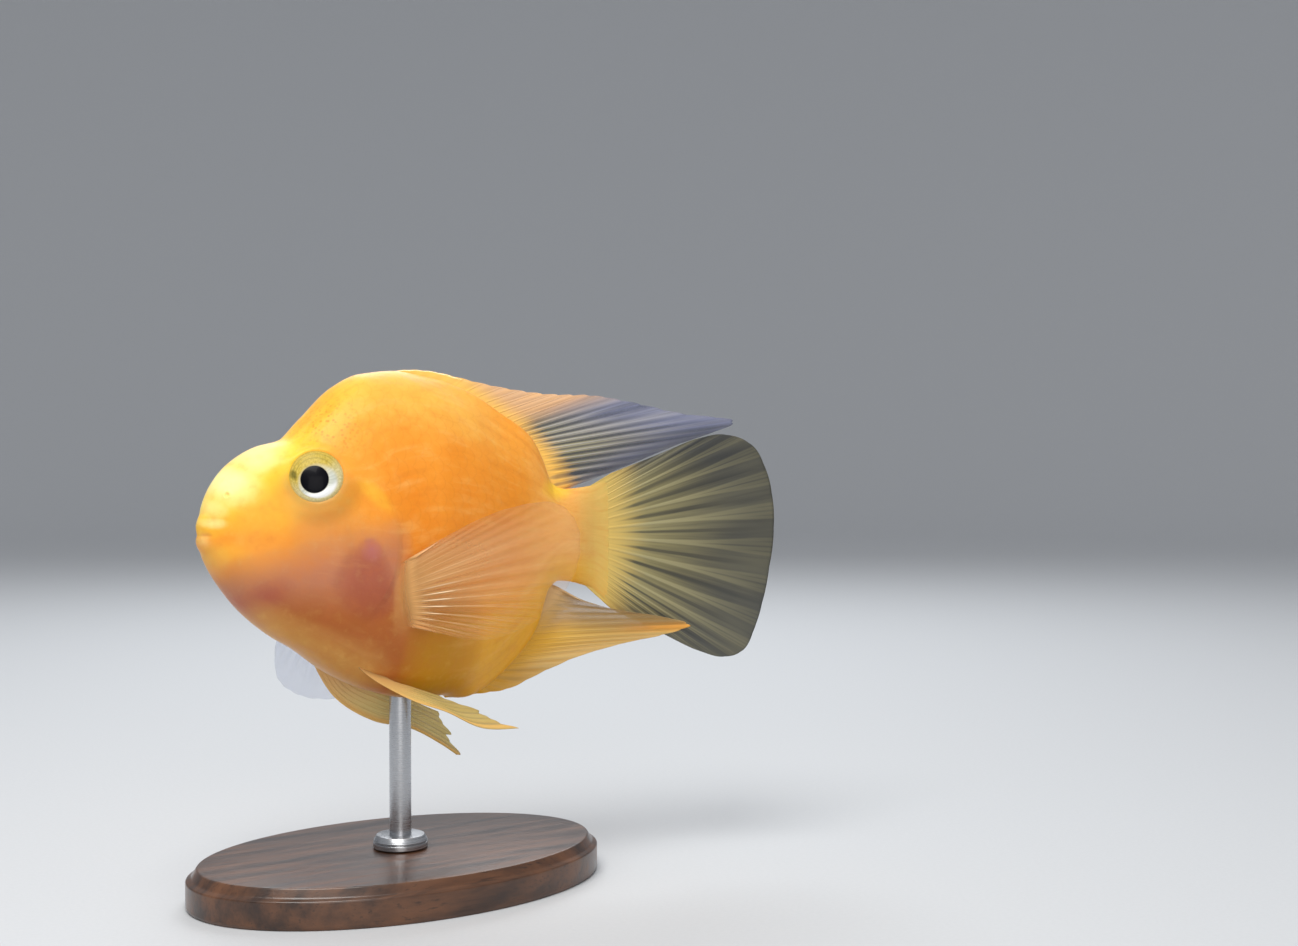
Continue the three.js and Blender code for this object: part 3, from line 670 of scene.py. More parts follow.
def eye(name, node, side):
    """An eyeball on the right side (1) or the left (-1). Each point keeps its place ahead of and above
    the middle of the pupil."""
    surface = flank_point(EYE_STATION, EYE_HEIGHT, side)
    out = flank_normal(EYE_STATION, EYE_HEIGHT, side)
    ahead = (flank_point(EYE_STATION - 0.5, EYE_HEIGHT, side)
             - flank_point(EYE_STATION + 0.5, EYE_HEIGHT, side))
    ahead /= np.linalg.norm(ahead)
    up = np.cross(out, ahead) * side
    centre = surface - EYE_SUNK * out
    around = np.linspace(0, 2 * math.pi, EYE_SIDES, endpoint=False)
    places, points = [], []
    for face, rings in ((1, front_rings), (-1, back_rings)):
        for radius in rings:
            shift = 1 - smooth(radius, 3.4, 5.6) if face > 0 else 0
            a = PUPIL_AHEAD * shift + radius * np.cos(around)
            b = -PUPIL_BELOW * shift + radius * np.sin(around)
            level = face * EYE_DEPTH * np.sqrt(np.maximum(1 - (a**2 + b**2) / EYE_RADIUS**2, 0))
            if face > 0:
                level = level + CORNEA * bump(radius, 0, CORNEA_WIDTH)
                level = level + sum(proud * bump(radius, at, width) for at, width, proud in IRIS_FOLDS)
                places.append(np.stack([a - PUPIL_AHEAD * shift, b + PUPIL_BELOW * shift], -1))
            else:
                places.append(np.full((EYE_SIDES, 2), EYE_RADIUS))
            points.append(centre + a[:, None] * ahead + b[:, None] * up + level[:, None] * out)
    count = len(points)
    front_tip = centre + PUPIL_AHEAD * ahead - PUPIL_BELOW * up + (EYE_DEPTH + 0.1) * out
    rear_tip = centre - EYE_DEPTH * out
    tip = count * EYE_SIDES
    parts = (ring_faces(count, EYE_SIDES)[:, OTHER_WAY_ROUND], fan_faces(tip, 0, EYE_SIDES),
             fan_faces(tip + 1, tip - EYE_SIDES, EYE_SIDES)[:, ::-1])
    ball = add_object(name, np.concatenate(points + [[front_tip, rear_tip]]),
                      [face[::side] for part in parts for face in part.tolist()])
    spots = np.concatenate(places + [[[0, 0], [EYE_RADIUS, EYE_RADIUS]]])
    add_values(ball, "eye_ahead", spots[:, 0])
    add_values(ball, "eye_up", spots[:, 1])
    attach(ball, "root")
    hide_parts(node)
    return ball


eyes = [eye("eyeball_left", "eye_left", -1), eye("eyeball_right", "eye_right", 1)]
iris = new_material("iris", *eyes)
eye_ahead = iris.value("eye_ahead")
eye_up = iris.value("eye_up")
spot = iris.node("ShaderNodeCombineXYZ", {"X": eye_ahead, "Y": eye_up}).outputs[0]
radius = iris.distance(spot, (0, 0, 0))
direction = iris.node("ShaderNodeVectorMath", {0: spot}, operation="NORMALIZE").outputs[0]
spoke = iris.node("ShaderNodeVectorMath", {0: direction, 1: (0, 0, 1)}, operation="ADD").outputs[0]
streak = iris.noise(spoke, 9, 3, 0.6)
fleck = iris.noise(spot, 2.2, 3, 0.6)
upper_front = iris.math("ADD", iris.times(eye_ahead, 0.5), iris.times(eye_up, 0.87))
upper_front = iris.ramp(iris.math("DIVIDE", upper_front, iris.larger(radius, 0.5)), -0.35, 0.5)


def ring_between(low, high, soft):
    """1 between two radii of the iris, with soft edges."""
    return iris.times(iris.ramp(radius, low - soft, low + soft),
                      iris.rest(iris.ramp(radius, high - soft, high + soft)))


# Olive above and in front, silver behind and below, and a painted white reflection at the lowest
beige = iris.mix(iris.ramp(fleck, 0.3, 0.7), colour(190, 178, 126), colour(214, 202, 154))
olive = iris.mix(iris.ramp(fleck, 0.3, 0.7), colour(178, 152, 58), colour(206, 182, 88))
iris_colour = iris.mix(upper_front, beige, olive)
silver = iris.rest(iris.ramp(iris.distance(spot, (-0.55, -0.7, 0)), 3.75, 4.6))
silver_colour = iris.mix(iris.ramp(streak, 0.3, 0.7), colour(184, 188, 174), colour(212, 214, 202))
silver_colour = iris.mix(iris.times(upper_front, 0.6), silver_colour, colour(206, 182, 110))
lowest = iris.ramp(iris.times_plus(eye_ahead, -0.35, iris.times(eye_up, -0.94)), 1.6, 3.6)
silver_colour = iris.mix(lowest, silver_colour, colour(252, 252, 250))
iris_colour = iris.mix(silver, iris_colour, silver_colour)

# Thin dark arcs above, a rim round the pupil, a darker outer edge and a dark spot in front
arcs = iris.larger(ring_between(4.5, 4.62, 0.14), ring_between(5.2, 5.32, 0.14))
arcs = iris.times(arcs, iris.times(upper_front, iris.ramp(fleck, 0.3, 0.6, 0.5, 1.0)))
rim = ring_between(PUPIL_RADIUS, PUPIL_RADIUS + 0.12, 0.1)
outer = iris.ramp(radius, 5.35, 5.9)
front_spot = iris.rest(iris.ramp(iris.distance(spot, (4.9, 0.5, 0)), 0.4, 1.5))
for mark, share, tint in (
    (arcs, 0.6, colour(104, 96, 44)),
    (rim, 0.45, colour(150, 132, 92)),
    (outer, 0.45, colour(176, 142, 60)),
    (front_spot, 0.75, colour(82, 80, 34)),
):
    iris_colour = iris.mix(iris.times(mark, share), iris_colour, tint)
pupil = iris.rest(iris.ramp(radius, PUPIL_RADIUS - 0.1, PUPIL_RADIUS + 0.08))
iris.surface(
    Base_Color=iris.mix(pupil, iris_colour, colour(5, 5, 12)),
    Roughness=0.32,
    Specular_IOR_Level=0.08,
    Normal=iris.bump(iris.times(streak, iris.ramp(pupil, 0, 1, 1.0, 0.0)), 0.00012, 0.4),
    Coat_Weight=0.3,
    Coat_IOR=1.18,
    Coat_Roughness=0.05,
)

# Fins: clear skin stretched over bony rays, grown in one with a fleshy root that sinks into the body.
# Spines are single, and soft rays split twice on their way to the edge. Each takes its solid's place.
SINK = 2.5
MEMBRANE = 0.16
RAY_HEIGHT = 0.24
RAY_WIDTH = 0.11
RAY_NARROWS = 0.06
RAY_SINKS = 0.85
SPINE_PROUDER = 0.6
EDGE_THINS = 0.6
COLUMNS_PER_RAY = 16
FIRST_SPLIT = 0.13
FIRST_SPLIT_AT = 0.3
SECOND_SPLIT = 0.06
SECOND_SPLIT_AT = 0.62
fin_luck = random.Random(41)


def curve_through(points):
    """An even curve through the points, by the share of its stretches from 0 to 1."""
    points = np.array(points, float)
    ends = np.concatenate([[2 * points[0] - points[1]], points, [2 * points[-1] - points[-2]]])
    gap = np.linalg.norm(np.diff(ends, axis=0), axis=1) ** 0.5

    def at(share):
        x = np.clip(np.asarray(share, float), 0, 1) * (len(points) - 1)
        i = np.clip(x.astype(int), 0, len(points) - 2)
        t = (x - i)[..., None]
        a, b, c, d = (ends[i + k] for k in range(4))
        before, here, past = (gap[i + k][..., None] for k in range(3))
        start = ((b - a) / before - (c - a) / (before + here) + (c - b) / here) * here
        end = ((c - b) / here - (d - b) / (here + past) + (d - c) / past) * here
        return (b * (2 * t**3 - 3 * t**2 + 1) + c * (3 * t**2 - 2 * t**3)
                + start * (t**3 - 2 * t**2 + t) + end * (t**3 - t**2))

    return at


def even_curve(points):
    """The same curve by the share of its length."""
    curve = curve_through(points)
    share = np.linspace(0, 1, 400)
    run = np.concatenate([[0], np.cumsum(np.linalg.norm(np.diff(curve(share), axis=0), axis=1))])
    return lambda t: curve(np.interp(t, run / run[-1], share))


def off_ray(ray, t, splits):
    """How far a place is from its nearest ray or branch, in ray spacings."""
    aside = np.abs(ray % 1 - 0.5)
    aside = np.abs(aside - FIRST_SPLIT * splits * smooth(t, FIRST_SPLIT_AT, 1))
    return np.abs(aside - SECOND_SPLIT * splits * smooth(t, SECOND_SPLIT_AT, 1))


def fin(name, node, rays, rows, ray_at, spines=0, spiny=0.0, flesh=1.8, fillet=5.5, notch=0.02,
        ragged=0.0, ripple=0.06, rising=6.0, relief=1.0):
    """A sheet over ray_at(u, t), with u across the fin and t along a ray. The first spines fill a share
    of the fin, spiny, and stand closer than the soft rays. The root's flesh tapers away over fillet, and
    the rays rise out of it over rising. The edge is notched between rays and cut off raggedly."""
    columns = COLUMNS_PER_RAY * rays
    ray = np.linspace(0, rays, columns + 1)[:, None]
    u = np.interp(ray, [0, max(spines, 1e-6), rays], [0, spiny, 1])
    t = np.linspace(0, 1, rows + 1)[None, :]
    soft = soft_look = np.ones(ray.shape)
    if spines:
        soft = smooth(ray, spines - 0.5, spines + 0.5)
        soft_look = smooth(ray, spines - 1.5, spines + 2.5)
    between = (2 * np.abs(ray % 1 - 0.5)) ** 1.5
    lucks = np.array([fin_luck.uniform(-1, 1) for _ in range(rays + 2)])
    whole = np.floor(ray).astype(int)
    luck = lucks[whole] + (lucks[whole + 1] - lucks[whole]) * smooth(ray - whole, 0, 1)
    reach = 1 - notch * (2 - soft) * between - ragged * (0.5 + 0.5 * luck)
    middle = ray_at(*np.broadcast_arrays(u, t * reach))
    across = np.gradient(middle, axis=0)
    along = np.gradient(middle, axis=1)
    facing = np.cross(across, along)
    facing /= np.maximum(np.linalg.norm(facing, axis=-1, keepdims=True), 1e-9)
    run = np.cumsum(np.linalg.norm(along, axis=-1), axis=1)
    middle = middle + facing * (ripple * np.cos(2 * math.pi * ray) * smooth(t, 0.15, 0.8))[..., None]

    width = RAY_WIDTH - RAY_NARROWS * t
    ridge = RAY_HEIGHT * (1 - RAY_SINKS * t) * np.exp(-((off_ray(ray, t, soft) / width) ** 2))
    ridge = relief * ridge * (1 + SPINE_PROUDER * (1 - soft)) * smooth(run, SINK - 1, SINK + rising)
    fullness = (0.02 + 3.9 * u * (1 - u)) ** 0.5
    root = flesh * smooth(run, 0, SINK) * (1 - smooth(run, SINK, SINK + fillet)) ** 1.4 * fullness
    thin = 1 - EDGE_THINS * smooth(t, 0.86, 1)
    half = (MEMBRANE + ridge + root) * thin / 2
    front = middle + facing * half[..., None]
    rear = middle - facing * half[..., None]
    wide = rows + 1
    i, j = np.meshgrid(np.arange(columns), np.arange(rows), indexing="ij")
    a = (i * wide + j).ravel()
    b, c, d = a + wide, a + wide + 1, a + 1
    other = (columns + 1) * wide
    faces = np.concatenate([np.stack([a, b, c, d], -1), np.stack([a, d, c, b], -1) + other])
    rim = np.concatenate([np.arange(columns) * wide, columns * wide + np.arange(rows),
                          np.arange(columns, 0, -1) * wide + rows, np.arange(rows, 0, -1)])
    ahead = np.roll(rim, -1)
    faces = np.concatenate([faces, np.stack([rim, rim + other, ahead + other, ahead], -1)])
    sheet = add_object(name, np.concatenate([front.reshape(-1, 3), rear.reshape(-1, 3)]), faces.tolist())
    ray_map = np.stack(np.broadcast_arrays(ray, t), -1).reshape(-1, 2)
    add_uv(sheet, "RayMap", np.concatenate([ray_map, ray_map])[faces.ravel()])
    add_values(sheet, "from_root", np.tile(np.maximum(run - SINK, 0).ravel(), 2))
    add_values(sheet, "soft", np.tile(np.broadcast_to(soft_look, run.shape).ravel(), 2))
    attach(sheet, "root")
    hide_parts(node)
    return sheet


def middle_fin(edge, root_at, sway):
    """The ray_at of a fin in the fish's middle plane, swayed to its right."""
    edge_at = curve_through(edge)

    def ray_at(u, t):
        root_station, root_height = root_at(u)
        end = edge_at(u)
        station = root_station + (end[..., 0] - root_station) * t
        height = root_height + (end[..., 1] - root_height) * t
        return place(station, height, sway(u, t))

    return ray_at


DORSAL_EDGE = [(43.5, 122.1), (48, 123), (53, 123.4), (59, 123.1), (66, 121.9), (74, 120.3), (82, 119),
               (89, 118.2), (95.5, 118), (102, 117.9), (112, 116.3), (126, 113.4), (141, 111.2),
               (124, 104.8), (109, 98.9), (97.5, 94.8)]
ANAL_EDGE = [(62, 44), (70, 44.4), (78, 45.2), (87, 48.8), (98, 52.8), (110, 55.5), (119.5, 57.2),
             (126.5, 59.5), (119, 61.8), (106, 64.1), (96, 66.6)]
CAUDAL_EDGE = [(106, 98.2), (118, 102.6), (129, 106.8), (137, 107.9), (144.5, 105), (149, 96.5),
               (150.5, 85), (149, 72), (146, 60), (142, 52), (136.5, 50.4), (129, 52.5), (117, 58.5),
               (106, 63.8)]
DORSAL_START = 41
DORSAL_ROOT = 49.5
DORSAL_SWAY = 4.5
ANAL_START = 60
ANAL_ROOT = 28.5
ANAL_SWAY = -6
CAUDAL_TOP = 93.4
CAUDAL_ROOT = 22
ROOT_AHEAD = 1


def dorsal_root(u):
    station = DORSAL_START + DORSAL_ROOT * u**0.7
    return station - ROOT_AHEAD, back(station) - SINK


def anal_root(u):
    station = ANAL_START + ANAL_ROOT * u**0.9
    return station - ROOT_AHEAD, belly(station) + SINK


def caudal_root(u):
    return BODY_LENGTH - SINK + 0 * u, CAUDAL_TOP - CAUDAL_ROOT * u


dorsal = fin("dorsal_fin", "fin_dorsal", 28, 60, spines=14, spiny=0.6, flesh=4, fillet=9,
             ray_at=middle_fin(DORSAL_EDGE, dorsal_root, lambda u, t: DORSAL_SWAY * u * t**2))
anal = fin("anal_fin", "fin_anal", 18, 56, spines=4, spiny=0.2, flesh=4, fillet=12, ragged=0.02,
           ray_at=middle_fin(ANAL_EDGE, anal_root, lambda u, t: ANAL_SWAY * u * t**2))
caudal = fin("caudal_fin", "fin_caudal", 17, 72, flesh=1.2, notch=0.004, ripple=0.1, rising=14,
             ray_at=middle_fin(CAUDAL_EDGE, caudal_root, lambda u, t: 0 * u * t))

PECTORAL_EDGE = [(4, 7.5), (16, 13.5), (29, 17), (39, 16.5), (43, 11), (42, 2), (37, -5), (28, -11),
                 (17, -12.5), (6, -8.5)]
PECTORAL_STATION = 40
PECTORAL_HEIGHT = 71.2
PECTORAL_ROOT = 13


def blade_fin(side, ahead, across, curl, forward, depth):
    """The ray_at of a pectoral fin, whose root follows the flank and whose blade lies along ahead. The
    root is moved forward along the body and sunk to a depth."""
    edge_at = curve_through(PECTORAL_EDGE)
    along = np.array(ahead) / np.linalg.norm(ahead)
    facing = np.cross(along, across)
    facing /= np.linalg.norm(facing)
    spread = np.cross(facing, along)
    root_middle = flank_point(PECTORAL_STATION, PECTORAL_HEIGHT, side)

    def ray_at(u, t):
        starts = []
        for share in u[:, 0]:
            leaning = 0.4 * (2 * share - 1) ** 2 + 1.4 * smooth(share, 0.5, 1)
            root_station = PECTORAL_STATION - forward + leaning
            root_height = PECTORAL_HEIGHT + PECTORAL_ROOT * (0.5 - share)
            out = flank_normal(root_station, root_height, side)
            sunk = depth * (0.5 + 0.6 * abs(2 * share - 1) ** 3)
            starts.append(flank_point(root_station, root_height, side) - sunk * out)
        start = np.array(starts)[:, None, :]
        edge = edge_at(u)
        end = root_middle + edge[..., :1] * along + edge[..., 1:] * spread
        t = t[..., None]
        return start + (end - start) * t + facing * curl * edge[..., :1] * t**2

    return ray_at


pectorals = [
    fin("pectoral_fin_left", "fin_pectoral_left", 18, 54, flesh=0.8, fillet=12, notch=0.005, rising=14,
        relief=0.35, ray_at=blade_fin(-1, (0.93, -0.36, 0.12), (0, 0, 1), 0.1, 2.2, 1.2)),
    fin("pectoral_fin_right", "fin_pectoral_right", 18, 54, flesh=1.2, fillet=12, notch=0.004, rising=14,
        relief=0.35, ray_at=blade_fin(1, (0.31, 0.51, -0.8), (-0.74, 0.66, 0.13), 0.06, 0.0, SINK)),
]

PELVIC_LEFT_FIRST = [(30.5, 59, -7.5), (37, 52, -11.5), (45.9, 46.6, -14.5), (55.2, 43.2, -15),
                     (65.2, 38.6, -15), (78, 37.5, -14)]
PELVIC_LEFT_LAST = [(37, 56.5, -6.5), (41.6, 51.5, -10.5), (47.6, 49.2, -11.2), (55, 46.6, -11)]
PELVIC_RIGHT_FIRST = [(28.6, 57.6, 4.6), (32, 51.8, 7.2), (37.8, 44.5, 9), (47.4, 38.4, 9),
                      (56.6, 35.8, 9), (63.9, 31.5, 8.5), (70.9, 26.2, 8)]
PELVIC_RIGHT_LAST = [(37, 56.5, 5), (41, 50.4, 7.5), (49, 46.5, 8), (64.5, 39, 8)]


def fan_fin(leading, trailing):
    """The ray_at of a pelvic fin, between its leading and trailing ray."""
    first, last = even_curve(leading), even_curve(trailing)

    def ray_at(u, t):
        point = first(t) + (last(t) - first(t)) * u[..., None]
        return place(point[..., 0], point[..., 1], point[..., 2])

    return ray_at


pelvics = [
    fin("pelvic_fin_" + side, "fin_pelvic_" + side, 7, 72, flesh=2.4, fillet=8, notch=0.006, ragged=0.08,
        ray_at=fan_fin(first, last))
    for side, first, last in (("left", PELVIC_LEFT_FIRST, PELVIC_LEFT_LAST),
                              ("right", PELVIC_RIGHT_FIRST, PELVIC_RIGHT_LAST))
]

RAY_GAPS = ("Gap Width", "Gap Start", "Gap Full", "Gap Fade")
RAY_MASKS = ("Ray", "Clear", "Along", "Number", "Streak", "Fold")


def group_of_rays():
    """The look that all fins share: the rays with their branches, the clear gaps and the fine streaks."""
    tree = bpy.data.node_groups.new("Fin rays", "ShaderNodeTree")
    tree.interface.new_socket("Map", in_out="INPUT", socket_type="NodeSocketVector")
    for name in ("Softness",) + RAY_GAPS:
        tree.interface.new_socket(name, in_out="INPUT", socket_type="NodeSocketFloat")
    for name in RAY_MASKS:
        tree.interface.new_socket(name, in_out="OUTPUT", socket_type="NodeSocketFloat")
    rays = Finish(tree)
    given = tree.nodes.new("NodeGroupInput").outputs
    apart = rays.node("ShaderNodeSeparateXYZ", {0: given["Map"]}).outputs
    number, along = apart["X"], apart["Y"]
    centred = rays.math("ABSOLUTE", rays.minus(rays.math("FRACT", number), 0.5))
    aside = centred
    for split, low in ((FIRST_SPLIT, FIRST_SPLIT_AT), (SECOND_SPLIT, SECOND_SPLIT_AT)):
        opened = rays.times(given["Softness"], rays.ramp(along, low, 1.0, 0.0, split))
        aside = rays.math("ABSOLUTE", rays.minus(aside, opened))
    width = rays.times_plus(along, -0.05, 0.1)
    ray = rays.rest(rays.ramp(rays.math("DIVIDE", aside, width), 0.4, 1.5))
    streak = rays.noise(rays.stretched(given["Map"], 6.0, 1.6, 1.0), 1.0, 3, 0.6)
    fold = rays.noise(rays.stretched(given["Map"], 0.45, 0.9, 1.0), 1.0, 2)

    # Each gap has its own width and strength, narrows to a point at the root and fades at the edge
    own = rays.times(rays.math("ROUND", number), 3.7)
    own = rays.noise(rays.node("ShaderNodeCombineXYZ", {"X": own}).outputs[0], 1.0, 1)
    luck = rays.ramp(own, 0.36, 0.64)
    opening = rays.ramp(along, given["Gap Start"], given["Gap Full"])
    closing = rays.ramp(along, given["Gap Fade"], 1.05, 1.0, 0.0)
    wide = rays.times(given["Gap Width"], rays.times_plus(luck, 0.6, 0.55),
                      rays.times_plus(opening, 0.75, 0.25))
    wavy = rays.times_plus(rays.minus(streak, 0.5), 0.12, rays.minus(0.5, centred))
    gap = rays.rest(rays.ramp(rays.math("DIVIDE", wavy, wide), 0.35, 1.3))
    gap = rays.times(gap, rays.times_plus(luck, 0.45, 0.55), opening, closing)
    put_out = tree.nodes.new("NodeGroupOutput").inputs
    for name, socket in zip(RAY_MASKS, (ray, gap, along, number, streak, fold)):
        tree.links.new(socket, put_out[name])
    return tree


fin_rays = group_of_rays()


def fin_material(name, pieces, root, near, far, line, gap, solid, gap_solid, gaps, reach,
                 core=None, spiny=None, line_solid=0.0, stripe=None, glints=None, faint=None,
                 faded=None, grown=None, bold=None, mottled=0.45):
    """A fin's finish. Distances are from the root in millimetres, and numbers count the rays.

    The colour root gives way to the web over reach, two distances. The web goes from near to far and is
    as dense as the two values of solid. A line runs down each ray, as dense as line_solid, and gathers
    strength over bold, two numbers. gaps holds the width of the clear gaps and where along the ray they
    start, are full and fade. core holds the numbers over which they appear and go. spiny is the spines'
    colour. stripe is a number, a colour and the stretch that has it. glints is the number from which
    painted glints show, near-white streaks for highlights. The web thins over the first two values of
    faint, down to its third, and pales to faded. The fin comes out of the skin over grown, two distances.
    mottled is the strength of the bands.
    """
    look = new_material(name, *pieces)
    soft = look.value("soft")
    from_root = look.value("from_root")
    inputs = {"Map": look.node("ShaderNodeUVMap", uv_map="RayMap").outputs[0], "Softness": soft}
    group = look.node("ShaderNodeGroup", {**inputs, **dict(zip(RAY_GAPS, gaps))}, node_tree=fin_rays)
    ray, clear, along, number, streak, fold = (group.outputs[mask] for mask in RAY_MASKS)
    ray = look.times(ray, look.ramp(from_root, 0.5, 7.0))
    if core is not None:
        clear = look.times(clear, look.ramp(number, *core[:2], 0.15, 1.0))
        clear = look.times(clear, look.ramp(number, *core[2:], 1.0, 0.15))
    uneven = look.times_plus(look.minus(streak, 0.5), 0.4 * reach[1], from_root)
    fleshy = look.minus(look.ramp(uneven, *reach, 1.0, 0.0), look.times(clear, 0.4))
    fleshy = look.larger(fleshy, 0.0)
    paint = look.mix(look.ramp(along, 0.15, 0.85), near, far)
    paint = look.mix(look.ramp(fold, 0.42, 0.66, 0.0, 0.9 * mottled), paint, line)
    paint = look.mix(look.ramp(streak, 0.3, 0.6, 0.3, 0.0), paint, gap)
    fine = look.times(ray, look.ramp(along, 0.2, 1.0, 0.75, 0.12))
    if bold is not None:
        fine = look.times(fine, look.ramp(number, *bold, 0.35, 1.0))
    paint = look.mix(fine, paint, line)
    paint = look.mix(look.ramp(fold, 0.5, 0.3, 0.0, mottled), paint, gap)
    dense = look.ramp(along, 0.15, 0.95, *solid)
    if faint is not None:
        dense = look.times(dense, look.ramp(number, *faint[:2], 1.0, faint[2]))
    dense = look.larger(dense, look.times(fine, line_solid))
    if spiny is not None:
        hard = look.rest(soft)
        paint = look.mix(look.times(hard, look.ramp(streak, 0.3, 0.7, 0.75, 0.98)), paint, spiny)
        dense = look.larger(dense, look.times(hard, 0.94))
        clear = look.times(clear, look.ramp(soft, 0, 1, 0.25, 1.0))
    if stripe is not None:
        striped_ray, stripe_colour, stretch = stripe
        aside = look.math("ABSOLUTE", look.minus(number, striped_ray))
        mark = look.times(look.ramp(aside, 1.4, 0.1), look.ramp(along, *stretch))
        paint = look.mix(look.times(mark, 0.85), paint, stripe_colour)
        dense = look.larger(dense, mark)
    paint = look.mix(look.times(clear, 0.92), paint, gap)
    dense = look.times_plus(clear, look.minus(gap_solid, dense), dense)
    # Painted glints: near-white streaks on the rays a little way from the root, standing in for highlights
    if glints is not None:
        wet = look.times(look.ramp(along, 0.14, 0.22), look.ramp(along, 0.3, 0.42, 1.0, 0.0),
                         look.ramp(number, glints, glints + 2), look.ramp(ray, 0.35, 0.95))
        paint = look.mix(look.times(wet, 0.75), paint, colour(255, 238, 208))
        dense = look.larger(dense, wet)
    paint = look.mix(fleshy, paint, root)
    dense = look.larger(dense, fleshy)
    if faded is not None:
        paint = look.mix(look.ramp(number, *faint[:2], 0.0, 0.75), paint, faded)
    if grown is not None:
        seen = look.ramp(from_root, *grown)
        dense = look.times(dense, look.times(seen, seen))
    look.surface(
        Base_Color=paint,
        Alpha=dense,
        Roughness=look.ramp(ray, 0, 1, 0.45, 0.34),
        Specular_IOR_Level=0.3,
        Normal=look.bump(look.math("ADD", ray, look.times(streak, 0.6)), 0.0001, 0.4),
        Coat_Weight=0.15,
        Coat_Roughness=0.2,
    )


fin_material("dorsal_web", [dorsal], root=colour(252, 196, 94), near=colour(172, 164, 124),
             far=colour(136, 140, 170), line=colour(190, 186, 182), gap=colour(38, 44, 58),
             solid=(0.9, 0.6), gap_solid=0.66, gaps=(0.3, 0.05, 0.2, 0.42), core=(13.5, 17, 40, 41),
             spiny=colour(236, 184, 128), reach=(3.0, 11.0))
fin_material("anal_web", [anal], root=colour(222, 162, 36), near=colour(222, 170, 52),
             far=colour(198, 162, 100), line=colour(232, 194, 108), gap=colour(188, 142, 56),
             solid=(0.96, 0.86), gap_solid=0.9, gaps=(0.2, 0.2, 0.45, 0.85), spiny=colour(222, 166, 48),
             reach=(2.0, 17.0), stripe=(12.6, colour(242, 164, 52), (0.5, 0.85)), faint=(11.5, 17, 0.5),
             faded=colour(182, 156, 118))
fin_material("caudal_web", [caudal], root=TAIL_ROOT, near=colour(162, 152, 102), far=colour(70, 70, 66),
             line=colour(176, 168, 126), gap=colour(30, 34, 42), solid=(0.97, 0.85), gap_solid=0.84,
             gaps=(0.16, 0.12, 0.32, 0.5), core=(3, 8, 13, 16), reach=(5.5, 18.0), mottled=0.22)
fin_material("pectoral_web_left", pectorals[:1], root=colour(216, 160, 94), near=colour(218, 164, 97),
             far=colour(210, 154, 108), line=colour(242, 198, 142), gap=colour(202, 138, 78),
             solid=(0.67, 0.16), gap_solid=0.26, gaps=(0.2, 0.1, 0.3, 0.6), core=(6, 11, 18, 19),
             reach=(3.0, 11.0), line_solid=0.6, stripe=(0.4, colour(244, 200, 150), (0.0, 0.2)),
             glints=8.5, faint=(8, 14, 0.14), grown=(-0.3, 5.0), bold=(5, 11))
fin_material("pectoral_web_right", pectorals[1:], root=colour(228, 172, 104), near=colour(176, 184, 214),
             far=colour(150, 168, 216), line=colour(206, 214, 236), gap=colour(110, 130, 196),
             solid=(0.34, 0.16), gap_solid=0.12, gaps=(0.3, 0.1, 0.3, 0.7), reach=(1.0, 8.0),
             line_solid=0.5, grown=(0.5, 4.0))
# The right pelvic fin is painted lighter than the left, as painted light where it lies in the shade under
# the belly
for side, piece, grown, near_root, near, far in (
    ("left", pelvics[0], (0.0, 8.0), colour(224, 172, 104), colour(242, 200, 116), colour(216, 190, 110)),
    ("right", pelvics[1], (0.0, 4.0), colour(238, 192, 128), colour(252, 222, 146), colour(230, 214, 142)),
):
    fin_material("pelvic_web_" + side, [piece], root=near_root, near=near, far=far,
                 line=colour(246, 220, 146), gap=colour(200, 172, 100), solid=(0.97, 0.88),
                 gap_solid=0.75, gaps=(0.18, 0.45, 0.7, 0.95), reach=(4.0, 22.0), mottled=0.25,
                 stripe=(0.4, colour(246, 196, 112), (0.1, 0.4)), grown=grown)

# Stand: an oval foot of dark stained wood and a steel rod, set in a turned collar, that carries the fish.
# The rod goes up into the belly.
GAP = 0.3
NEAR_AXIS = 0.4
BASE_LENGTH = 104.0
BASE_WIDTH = 68.0
BASE_HEIGHT = 9.0
COLLAR_RADIUS = 6.5
COLLAR_HEIGHT = 3.0
COLLAR_CLEARANCE = 0.05
ROD_RADIUS = 2.6
ROD_STATION = 50.0
ROD_SUNK = 1.2
ROUNDING_STEPS = 6


def turned_piece(name, node, profile, centre=(0, 0), stretch=(1, 1), around=144):
    """A piece turned from a profile of (radius, height) points, closed flat at both ends."""
    angles = np.linspace(0, 2 * math.pi, around, endpoint=False)
    points = [np.stack([centre[0] + radius * stretch[0] * np.cos(angles),
                        centre[1] + radius * stretch[1] * np.sin(angles), np.full(around, level)], -1)
              for radius, level in profile]
    ends = [list(range(around))[::-1], list(range((len(profile) - 1) * around, len(profile) * around))]
    piece = add_object(name, np.concatenate(points), ring_faces(len(profile), around).tolist() + ends)
    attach(piece, "root")
    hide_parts(node)
    return piece


def rounded(corners, radius):
    """A profile with its inner corners rounded off."""
    corners = np.array(corners, float)
    made = [corners[0]]
    for before, corner, after in zip(corners, corners[1:], corners[2:]):
        start = (before - corner) / np.linalg.norm(before - corner) * radius
        end = (after - corner) / np.linalg.norm(after - corner) * radius
        for t in np.linspace(0, 1, ROUNDING_STEPS):
            made.append(corner + start * (1 - t) ** 2 + end * t**2)
    return made + [corners[-1]]


